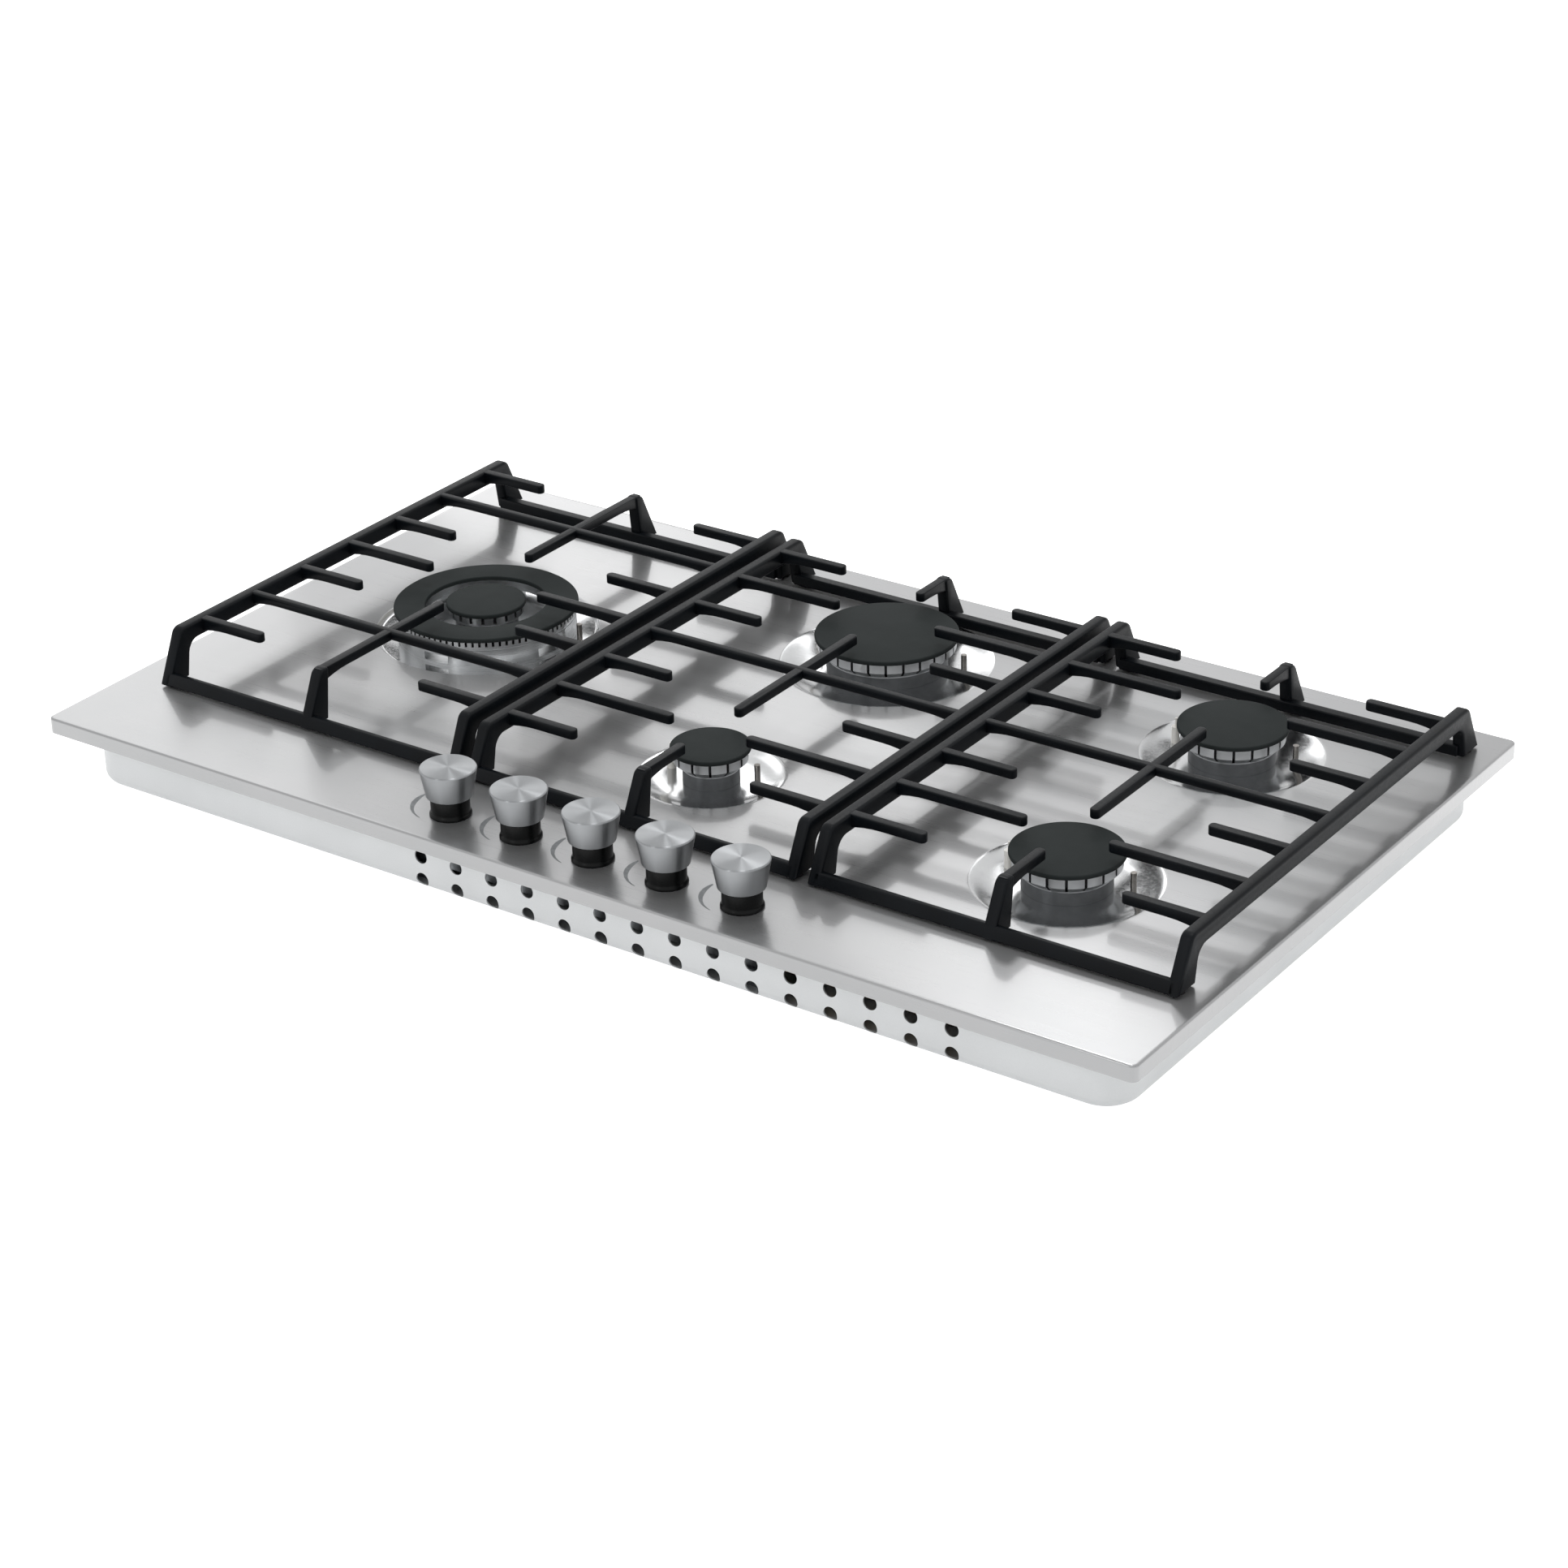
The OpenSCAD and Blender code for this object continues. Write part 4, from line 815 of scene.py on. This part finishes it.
@dataclass
class PanSupport:
    """A cast pan support: two side frames, two low rails with a post each, and fingers."""

    side: str
    x: float
    over: Cooks
    height: float
    front_tip: float = 30.0
    rear_tip: float = 40.0
    length: float = 398.0
    span: float = 256.0
    foot_z: float = HEIGHT + 1.5
    bar_w: float = 9.0
    bar_h: float = 12.0
    finger_w: float = 7.0
    finger_h: float = 6.5
    flare: float = 17.0
    leg_w: float = 25.0
    foot_w: float = 21.0
    arch: float = 8.0
    rail_w: float = 8.0
    rail_h: float = 8.0
    rear_rail_inset: float = 16.0
    short_reach: float = 70.0
    wok_tip: float = 48.0
    root: float = 26.0
    drop: float = 4.0
    bar_round: float = 2.0
    finger_round: float = 2.0
    tip_less: float = 0.3
    rail_round: float = 1.2
    rail_edge: float = 0.6
    shoulder: float = 4.0
    post_round: float = 2.0
    lap: float = 1.0
    sink: float = 0.12
    casting: Shape = field(init=False)

    def side_frame(self) -> Shape:
        """Makes a side bar with its two flared legs.

        Returns:
            The bar, along X.
        """
        half = self.length / 2
        inner, foot = half - self.leg_w, half - self.foot_w
        under = self.height - self.bar_h
        outline = [
            (-half, 0), (-half + self.flare, self.height), (half - self.flare, self.height), (half, 0),
            (foot, 0), (inner, under), (-inner, under), (-foot, 0),
        ]
        rounds = {1: self.shoulder, 2: self.shoulder, 5: self.arch, 6: self.arch}
        return bar(outline, rounds, self.bar_w, self.bar_round)

    def rail(self, outline: Sequence[Point]) -> Shape:
        """Returns a low rail, drawn out along Y from the outline of its end."""
        return bar(outline, dict.fromkeys(range(4), self.rail_round), self.span, self.rail_edge)

    def front_rail(self) -> Shape:
        """Makes the front rail, which leans with the legs.

        Returns:
            The rail, drawn out along Y.
        """
        half = self.length / 2
        lean = self.flare * self.rail_h / self.height
        outline = [(-half, 0), (-half + lean, self.rail_h), (-half + self.rail_w, self.rail_h),
                   (-half + self.rail_w, 0)]
        return self.rail(outline)

    def rear_rail(self) -> Shape:
        """Makes the rear rail, which stands upright.

        Returns:
            The rail, drawn out along Y.
        """
        far = self.length / 2 - self.rear_rail_inset
        outline = [(far - self.rail_w, 0), (far - self.rail_w, self.rail_h), (far, self.rail_h), (far, 0)]
        return self.rail(outline)

    def post(self) -> Shape:
        """Makes the leaning post that stands in the middle of each rail.

        Returns:
            The post, as seen from its side, at the negative end of X.
        """
        half = self.length / 2
        top = self.height - self.sink / 2
        outline = [(-half, 0), (-half + self.flare, top), (-half + self.leg_w, top), (-half + self.foot_w, 0)]
        return bar(outline, {1: self.shoulder, 2: self.post_round}, self.bar_w, self.bar_round)

    @property
    def tip_round(self) -> float:
        """Radius of a finger's tip, a little under half its width."""
        return self.finger_w / 2 - self.tip_less

    def root_curve(self) -> list[Point]:
        """Returns the points of the deeper root under a finger's start."""
        low = self.height - self.sink - self.finger_h
        return [(self.root * s, low - self.drop * (1 - s) ** 2) for s in (1.0, 0.75, 0.5, 0.25, 0.0)]

    def finger(self, reach: float, sink: float) -> Shape:
        """Makes a finger along X with a deeper root and a round tip.

        Args:
            reach: The finger's length.
            sink: How far its top lies below the side bars' tops.

        Returns:
            The finger.
        """
        top = self.height - sink
        low = top - self.finger_h
        curve = [(x, z + self.sink - sink) for x, z in self.root_curve() if x < reach]
        outline = [(0, top), (reach, top), (reach, low)] + curve
        return bar(outline, {}, self.finger_w, self.finger_round, self.tip_round)

    def bridge(self, length: float, sink: float) -> Shape:
        """Makes a bar right across, with a deeper root at both ends.

        Args:
            length: The bar's length, centred on X.
            sink: How far its top lies below the side bars' tops.

        Returns:
            The bar.
        """
        top = self.height - sink
        half = length / 2
        curve = [(x - half, z + self.sink - sink) for x, z in self.root_curve()]
        mirrored = [(-x, z) for x, z in reversed(curve)]
        outline = [(-half, top), (half, top)] + mirrored + curve
        return bar(outline, {}, self.finger_w, self.finger_round)

    def put(self, part: Shape, x: float, y: float, degrees: float) -> None:
        """Sets a part of the casting down at a place on the support, turned about Z."""
        join_in(self.casting, part, turn_move(self.x + x, LAYOUT.middle_y + y, self.foot_z, degrees))

    def pair(self, y: float, tip: float) -> None:
        """Adds a finger from each side bar that ends at a distance from the middle."""
        for side in (-1, 1):
            self.put(self.finger(self.span / 2 - tip, self.sink), side * self.span / 2, y, 0 if side < 0 else 180)

    def post_finger(self, front: bool, stop: float) -> None:
        """Adds the finger of a post.

        Args:
            front: Whether it is the front post's.
            stop: How far from the support's middle its tip ends.
        """
        start = self.length / 2 - self.flare - self.lap
        side = -1 if front else 1
        self.put(self.finger(start - stop, 2 * self.sink), 0, side * start, 90 if front else -90)

    def make(self) -> None:
        """Builds the support."""
        self.casting = bmesh.new()
        for side in (-1, 1):
            self.put(self.side_frame(), side * self.span / 2, 0, 90)
        for degrees in (90, -90):
            self.put(self.post(), 0, 0, degrees)
        self.put(self.front_rail(), 0, 0, 90)
        self.put(self.rear_rail(), 0, 0, 90)
        pitch = LAYOUT.spread / 2
        for k in (-3, -1, 1, 3):
            self.pair(k * pitch, self.short_reach)
        if self.over is Cooks.WOK:
            for k in (-2, 2):
                self.put(self.bridge(self.span, self.sink), 0, k * pitch, 0)
            self.pair(0, self.wok_tip)
            self.post_finger(True, self.wok_tip)
            self.post_finger(False, self.wok_tip)
        else:
            self.pair(-2 * pitch, self.front_tip)
            self.pair(2 * pitch, self.rear_tip)
            self.put(self.bridge(self.span, self.sink), 0, 0, 0)
            self.post_finger(True, LAYOUT.spread + self.front_tip)
            self.post_finger(False, LAYOUT.spread + self.rear_tip)
            self.middle_bar()
        link_piece(
            f"pan_support_{self.side}", self.casting, [CAST_IRON], f"pan_support_{self.side}",
            [f"grate_{self.side}"], smooth_angle=40,
        )

    def middle_bar(self) -> None:
        """Adds the bar along the middle that reaches out over both burners."""
        front = LAYOUT.spread - self.front_tip
        rear = LAYOUT.spread - self.rear_tip
        top = self.height - 2 * self.sink
        low = top - self.finger_h
        for degrees, reach in ((-90, front), (90, rear)):
            half = [(-self.lap, top), (reach, top), (reach, low), (-self.lap, low)]
            part = bar(half, {}, self.finger_w, self.finger_round, self.tip_round)
            self.put(part, 0, 0, degrees)


@dataclass
class Cap:
    """A flat enamelled burner cap that lies loose on its flame ring."""

    node: str
    at: Point
    radius: float
    top: float = HEIGHT + 22.0
    thickness: float = 3.0
    bore: float = 0.0

    def make(self) -> None:
        """Turns the cap: flat top, soft edge, thin side."""
        seat = self.top - self.thickness
        rounds = {1: 0.5, 2: 1.1} | ({3: 0.8} if self.bore else {})
        bm = lathe([(self.bore, seat), (self.radius, seat), (self.radius, self.top), (self.bore, self.top)], rounds)
        bmesh.ops.translate(bm, vec=(*self.at, 0), verts=bm.verts)
        link_piece(f"{self.node}_disc", bm, [CAP_ENAMEL], self.node, [self.node])


@dataclass
class FlameRing:
    """The flame rings of one crown node: a cone that widens upwards, cut by upright slots."""

    node: str
    cap_r: float
    places: tuple[Point, ...]
    overhang: float = 2.0
    seat: float = HEIGHT + 19.0
    low: float = HEIGHT + 6.0
    band: float = HEIGHT + 12.0
    neck_step: float = 6.0
    wall: float = 3.2
    foot_w: float = 8.0
    foot_h: float = 1.2
    foot_lip: float = 0.6
    core_w: float = 3.0
    core_foot_w: float = 5.0
    core_gap: float = 0.4
    core_drop: float = 0.2
    tooth_foot: float = 0.5
    tooth_back: float = 0.3
    lap: float = 1.0
    slot_w: float = 1.8
    slot_pitch: float = 12.0

    def ring(self) -> Shape:
        """Makes one flame ring: its foot, its slotted wall and the core behind the slots, painted dark as their
        shade.

        Returns:
            The ring about the Z axis.
        """
        outer = self.cap_r - self.overhang
        neck = outer - self.neck_step
        inner = outer - self.wall
        foot = self.low + self.lap
        bm = lathe(
            [(neck - self.foot_w, self.low), (neck, self.low), (neck + self.foot_lip, self.low + self.foot_h),
             (neck - self.foot_w, self.low + self.foot_h)]
        )
        back = neck - self.wall + self.core_gap
        top = self.seat - self.core_drop
        add_core(bm, [(neck - self.core_foot_w, foot), (back, foot), (inner, self.band), (inner, top),
                      (inner - self.core_w, top), (neck - self.core_foot_w, self.band)])
        inner += self.tooth_back
        section = [(neck + self.tooth_foot, foot), (outer, self.band), (outer, self.seat), (inner, self.seat),
                   (inner, self.band), (back + self.core_gap, foot)]
        count = round(math.tau * outer / self.slot_pitch)
        join_in(bm, teeth(section, count, self.slot_w))
        return bm

    def make(self) -> None:
        """Builds the flame rings at all the places of the crown's node."""
        whole = bmesh.new()
        for at in self.places:
            part = self.ring()
            lathe_uv(part)
            join_in(whole, part, turn_move(*at))
        link_piece(
            f"{self.node}_body", whole, [BURNER_ALLOY, SLOT_SHADE_ALLOY], ROOT_BODY, [self.node],
            smooth_angle=26,
        )


@dataclass
class WokBurner:
    """The wok burner's two crowns: a ring with many ports and a slotted one inside it, both over one drum."""

    at: Point = LAYOUT.wok
    ring_seat: float = HEIGHT + 17.5
    inner_seat: float = HEIGHT + 19.0
    drum_r: float = 64.0
    drum_top: float = HEIGHT + 10.5
    drum_floor: float = HEIGHT - 1.0
    bore: float = 45.5
    wall: float = 4.0
    floor_h: float = 2.0
    edge_round: float = 0.5
    tooth_h: float = 4.0
    tooth_sink: float = 0.2
    tooth_back: float = 0.3
    core_w: float = 2.0
    lap: float = 1.0
    inner_rise: float = 2.0
    inner_floor_h: float = 1.5
    port_count: int = 84
    port_w: float = 1.7
    inner_r: float = 26.5
    inner_slots: int = 19
    inner_slot_w: float = 2.2

    def make_ring_crown(self) -> None:
        """Builds the ring crown: a channel between two walls, with ports in the outer one."""
        outer, low, seat = self.drum_r, self.drum_top, self.ring_seat
        rim, inner = outer - self.wall, self.bore + self.wall
        floor, ledge = low + self.floor_h, seat - self.tooth_h
        bm = lathe(
            [(self.bore, low), (outer, low), (outer, ledge), (rim, ledge), (rim, floor), (inner, floor),
             (inner, seat), (self.bore, seat)],
            {1: self.edge_round},
        )
        sunk = ledge - self.tooth_sink
        join_in(bm, teeth([(outer, sunk), (outer, seat), (rim, seat), (rim, sunk)], self.port_count, self.port_w))
        self.finish_ring(bm, "wok_crown")

    def make_inner_crown(self) -> None:
        """Builds the inner crown: a stem, a floor, and slots round a core painted dark as their shade."""
        outer, low, seat = self.inner_r, self.drum_top + self.inner_rise, self.inner_seat
        back = outer - self.wall
        stem, floor, foot = back - self.wall, low + self.inner_floor_h, low + self.lap
        bm = lathe(
            [(stem, self.drum_floor), (back, self.drum_floor), (back, low), (outer, low), (outer, floor),
             (stem, floor)],
            {3: self.edge_round},
        )
        add_core(bm, [(back - self.core_w, foot), (back, foot), (back, seat), (back - self.core_w, seat)])
        sunk = floor - self.tooth_sink
        back += self.tooth_back
        section = [(outer, sunk), (outer, seat), (back, seat), (back, sunk)]
        join_in(bm, teeth(section, self.inner_slots, self.inner_slot_w))
        self.finish_ring(bm, "wok_inner_crown")

    def finish_ring(self, bm: Shape, node: str) -> None:
        """Maps a crown, sets it in its place and links it.

        Args:
            bm: The crown about the Z axis.
            node: The CAD node that it stands for.
        """
        lathe_uv(bm)
        bmesh.ops.translate(bm, vec=(*self.at, 0), verts=bm.verts)
        link_piece(f"{node}_body", bm, [BURNER_ALLOY, SLOT_SHADE_ALLOY], ROOT_BODY, [node])


# The cups' finish is darkened as painted shade under the flame rings
SMALL_PARTS = (
    SmoothPart("rapid_cup_body", "rapid_cup", CUP_ALLOY_PAINTED_SHADE, "burner_alloy"),
    SmoothPart("auxiliary_cup_body", "auxiliary_cup", CUP_ALLOY_PAINTED_SHADE, "burner_alloy"),
    SmoothPart("semi_rapid_cups_body", "semi_rapid_cups", CUP_ALLOY_PAINTED_SHADE, "burner_alloy"),
    SmoothPart("spark_plugs", "spark_electrodes", CERAMIC, "electrode_ceramic"),
    SmoothPart("flame_probes", "thermocouples", PROBE_METAL, "probe_copper"),
)


@dataclass
class Knob:
    """A turned knob that widens upwards, with a bright edge round its spun top."""

    number: int
    x: float
    y: float = LAYOUT.knob_y
    top: float = HEIGHT + 34.0
    low: float = HEIGHT + 14.0
    top_r: float = 19.0
    foot_r: float = 15.5
    chamfer: float = 0.8
    wall: float = 1.6
    hollow_h: float = 5.0

    def make(self) -> None:
        """Turns the knob."""
        bm = lathe(
            [(0, self.top), (self.top_r - self.chamfer, self.top), (self.top_r, self.top - self.chamfer),
             (self.foot_r, self.low), (self.foot_r - self.wall, self.low),
             (self.foot_r - self.wall, self.low + self.hollow_h), (0, self.low + self.hollow_h)],
            {1: 0.25, 2: 0.35, 3: 0.5, 4: 0.3},
        )
        lathe_uv(bm)
        bmesh.ops.translate(bm, vec=(self.x, self.y, 0), verts=bm.verts)
        link_piece(
            f"knob_{self.number}_shell", bm, [KNOB_METAL], f"control_{self.number}", [f"knob_{self.number}"],
            smooth_angle=25,
        )


@dataclass
class Collars:
    """The black moulded collars that the knobs stand over."""

    radius: float = 13.0
    height: float = 15.0
    foot_r: float = 14.0
    foot_h: float = 1.5
    slope_h: float = 1.5
    bore: float = 4.3

    def make(self) -> None:
        """Turns the five collars."""
        whole = bmesh.new()
        for x in LAYOUT.knob_xs:
            part = lathe(
                [(self.bore, 0), (self.foot_r, 0), (self.foot_r, self.foot_h),
                 (self.radius, self.foot_h + self.slope_h), (self.radius, self.height), (self.bore, self.height)],
                {2: 0.4, 3: 0.4, 4: 0.8},
            )
            join_in(whole, part, turn_move(x, LAYOUT.knob_y, HEIGHT))
        link_piece("collar_set", whole, [COLLAR_NYLON], ROOT_BODY, ["knob_collars"])


# Start of a node's name to the finish that it gets
KEPT: dict[str, Finish] = {
    "rim_gasket": GASKET_FOAM,
    "gas_manifold": ZINC_STEEL,
    "manifold_brackets": ZINC_STEEL,
    "gas_inlet_pipe": BRASS,
    "injectors": BRASS,
    "ignition_module": WHITE_ABS,
    "ignition_leads": LEAD_SILICONE,
    "cable_gland": GLAND_NYLON,
    "mounting_screws": ZINC_STEEL,
    "grate_feet_": FOOT_RUBBER,
    "spindle_": DRAWN_STEEL,
    "tap_plug_": BRASS,
    "tap_body_": TAP_ALLOY,
    "feed_pipe_": PIPE_ALLOY,
}


def dress_kept_nodes() -> None:
    """Gives each CAD node that keeps its shape its finish."""
    for name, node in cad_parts.items():
        finish = next((f for start, f in KEPT.items() if name.startswith(start)), None)
        if finish is None:
            continue
        for slot in node.material_slots:
            slot.material = finish.material()
        log.info("%s: %s", name, finish.name)


@dataclass(frozen=True)
class Camera:
    """The camera that was fitted to the photograph: bearing, height, roll, distance and framing."""

    azimuth: float = 36.31
    elevation: float = 26.82
    roll: float = -1.77
    distance: float = 2550.9
    target: tuple[float, float, float] = (31.42, -88.15, HEIGHT)
    focal_px: float = 4809.0
    principal: Point = (901.02, 973.56)
    frame_px: float = 1932.0
    sensor: float = 36.0

    def make(self) -> None:
        """Creates the camera and makes it the scene's own."""
        az, el, roll = (math.radians(v) for v in (self.azimuth, self.elevation, self.roll))
        back = Vector((math.sin(az) * math.cos(el), -math.cos(az) * math.cos(el), math.sin(el)))
        right = Vector((0, 0, 1)).cross(back).normalized()
        up = back.cross(right)
        side = math.cos(roll) * right + math.sin(roll) * up
        above = -math.sin(roll) * right + math.cos(roll) * up
        data = bpy.data.cameras.new("studio_camera")
        data.sensor_width = self.sensor
        data.sensor_fit = "HORIZONTAL"
        data.lens = self.sensor * self.focal_px / self.frame_px
        data.shift_x = (self.frame_px / 2 - self.principal[0]) / self.frame_px
        data.shift_y = (self.principal[1] - self.frame_px / 2) / self.frame_px
        data.clip_end = 100
        camera = bpy.data.objects.new("studio_camera", data)
        place = (Vector(self.target) + back * self.distance) * MM
        turn = Matrix((side, above, back)).transposed().to_4x4()
        camera.matrix_world = Matrix.Translation(place) @ turn
        bpy.context.scene.collection.objects.link(camera)
        bpy.context.scene.camera = camera


@dataclass(frozen=True)
class SoftBox:
    """A rectangular studio lamp, aimed at the plate from a bearing and a height."""

    name: str
    azimuth: float
    elevation: float
    distance: float
    width: float
    length: float
    radiance: float
    slant: float = 0.0

    def make(self) -> None:
        """Creates the lamp. Azimuth runs from the rear (+Y) towards the left (-X)."""
        az, el = math.radians(self.azimuth), math.radians(self.elevation)
        away = Vector((-math.sin(az) * math.cos(el), math.cos(az) * math.cos(el), math.sin(el)))
        data = bpy.data.lights.new(self.name, "AREA")
        data.shape = "RECTANGLE"
        data.size = self.width
        data.size_y = self.length
        # An area lamp's power spreads over its face and half a sphere
        data.energy = self.radiance * math.pi * self.width * self.length
        lamp = bpy.data.objects.new(self.name, data)
        look = (-away).to_track_quat("-Z", "Y").to_matrix().to_4x4()
        spin = Matrix.Rotation(math.radians(self.slant), 4, "Z")
        lamp.matrix_world = Matrix.Translation(Vector((0, 0, HEIGHT * MM)) + away * self.distance) @ look @ spin
        bpy.context.scene.collection.objects.link(lamp)


SOFT_BOXES = (
    SoftBox("strip_behind_left", 35.0, 26.5, 3.2, 0.3, 1.9, 2.1, slant=42.0),
    SoftBox("strip_far_left", 55.0, 27.0, 3.2, 0.6, 1.6, 1.1),
    SoftBox("overhead", 0.0, 88.0, 2.6, 0.3, 0.3, 34.0),
    SoftBox("upper_left", 28.0, 44.0, 3.0, 0.3, 0.3, 16.0),
    SoftBox("front_left", 168.0, 35.0, 3.0, 0.3, 0.8, 6.0),
)


@dataclass(frozen=True)
class Studio:
    """The pale floor, the white surroundings and the lamps."""

    floor_radius: float = 9.0
    world: float = 1.0
    floor_colour: str = "#e6e6e6"
    floor_glow: float = 0.8
    floor_roughness: float = 0.9

    def make(self) -> None:
        """Builds the studio round the object."""
        scene = bpy.context.scene
        scene.view_settings.view_transform = "Standard"
        world = bpy.data.worlds.new("studio")
        world.use_nodes = True
        scene.world = world
        back = world.node_tree.nodes["Background"]
        back.inputs["Color"].default_value = (1, 1, 1, 1)
        back.inputs["Strength"].default_value = self.world
        self.floor()
        for box in SOFT_BOXES:
            box.make()

    def floor(self) -> None:
        """Lays the floor, which looks white to the camera and in reflections and keeps the shadow."""
        made = bpy.data.materials.new("matt_white_floor")
        made.use_nodes = True
        tree = made.node_tree
        path = add_node(tree, "LightPath")
        seen = add_node(
            tree, "Math",
            {0: path.outputs["Is Camera Ray"], 1: path.outputs["Is Glossy Ray"]}, operation="MAXIMUM",
        )
        seen = add_node(
            tree, "Math", {0: seen.outputs[0], 1: path.outputs["Is Transmission Ray"]},
            operation="MAXIMUM",
        )
        glow = add_node(tree, "Math", {0: seen.outputs[0], 1: self.floor_glow}, operation="MULTIPLY")
        feed(
            tree,
            tree.nodes["Principled BSDF"],
            {
                "Base Color": linear(self.floor_colour), "Roughness": self.floor_roughness,
                "Specular IOR Level": 0.0, "Emission Color": (1, 1, 1, 1), "Emission Strength": glow.outputs[0],
            },
        )
        bm = bmesh.new()
        bmesh.ops.create_circle(bm, cap_ends=True, segments=64, radius=self.floor_radius)
        mesh = bpy.data.meshes.new("floor")
        bm.to_mesh(mesh)
        bm.free()
        mesh.materials.append(made)
        floor = bpy.data.objects.new("floor", mesh)
        bpy.context.scene.collection.objects.link(floor)


def main() -> None:
    """Builds and dresses the cooktop, sub-assembly by sub-assembly."""
    logging.basicConfig(level=logging.INFO, format="%(message)s")
    Camera().make()
    Studio().make()
    plate = TopPlate()
    plate.make()
    plate.make_marks()
    SmoothPart("tray_sheet", "bottom_tray", TRAY_STEEL, "tray_steel").make()
    PanSupport("left", LAYOUT.left_x, Cooks.WOK, 37.5).make()
    PanSupport("centre", LAYOUT.centre_x, Cooks.TWIN, 34.5).make()
    PanSupport("right", LAYOUT.right_x, Cooks.TWIN, 34.5).make()
    wok = WokBurner()
    wok.make_ring_crown()
    wok.make_inner_crown()
    SmoothPart("wok_drum", "wok_cup", BURNER_ALLOY, "burner_alloy", LAYOUT.wok).make()
    caps = (
        Cap("wok_ring_cap", LAYOUT.wok, 66.0, HEIGHT + 20.5, bore=43.5),
        Cap("wok_inner_cap", LAYOUT.wok, 28.5),
        Cap("rapid_cap", LAYOUT.rapid, 50.5),
        Cap("auxiliary_cap", LAYOUT.auxiliary, 27.0),
        Cap("semi_rapid_cap_rear", LAYOUT.semi_rear, 37.0),
        Cap("semi_rapid_cap_front", LAYOUT.semi_front, 37.0),
    )
    for cap in caps:
        cap.make()
    FlameRing("rapid_crown", 50.5, (LAYOUT.rapid,)).make()
    FlameRing("auxiliary_crown", 27.0, (LAYOUT.auxiliary,)).make()
    FlameRing("semi_rapid_crowns", 37.0, (LAYOUT.semi_rear, LAYOUT.semi_front)).make()
    for part in SMALL_PARTS:
        part.make()
    for number, x in enumerate(LAYOUT.knob_xs, 1):
        Knob(number, x).make()
    Collars().make()
    dress_kept_nodes()


if __name__ == "__main__":
    main()
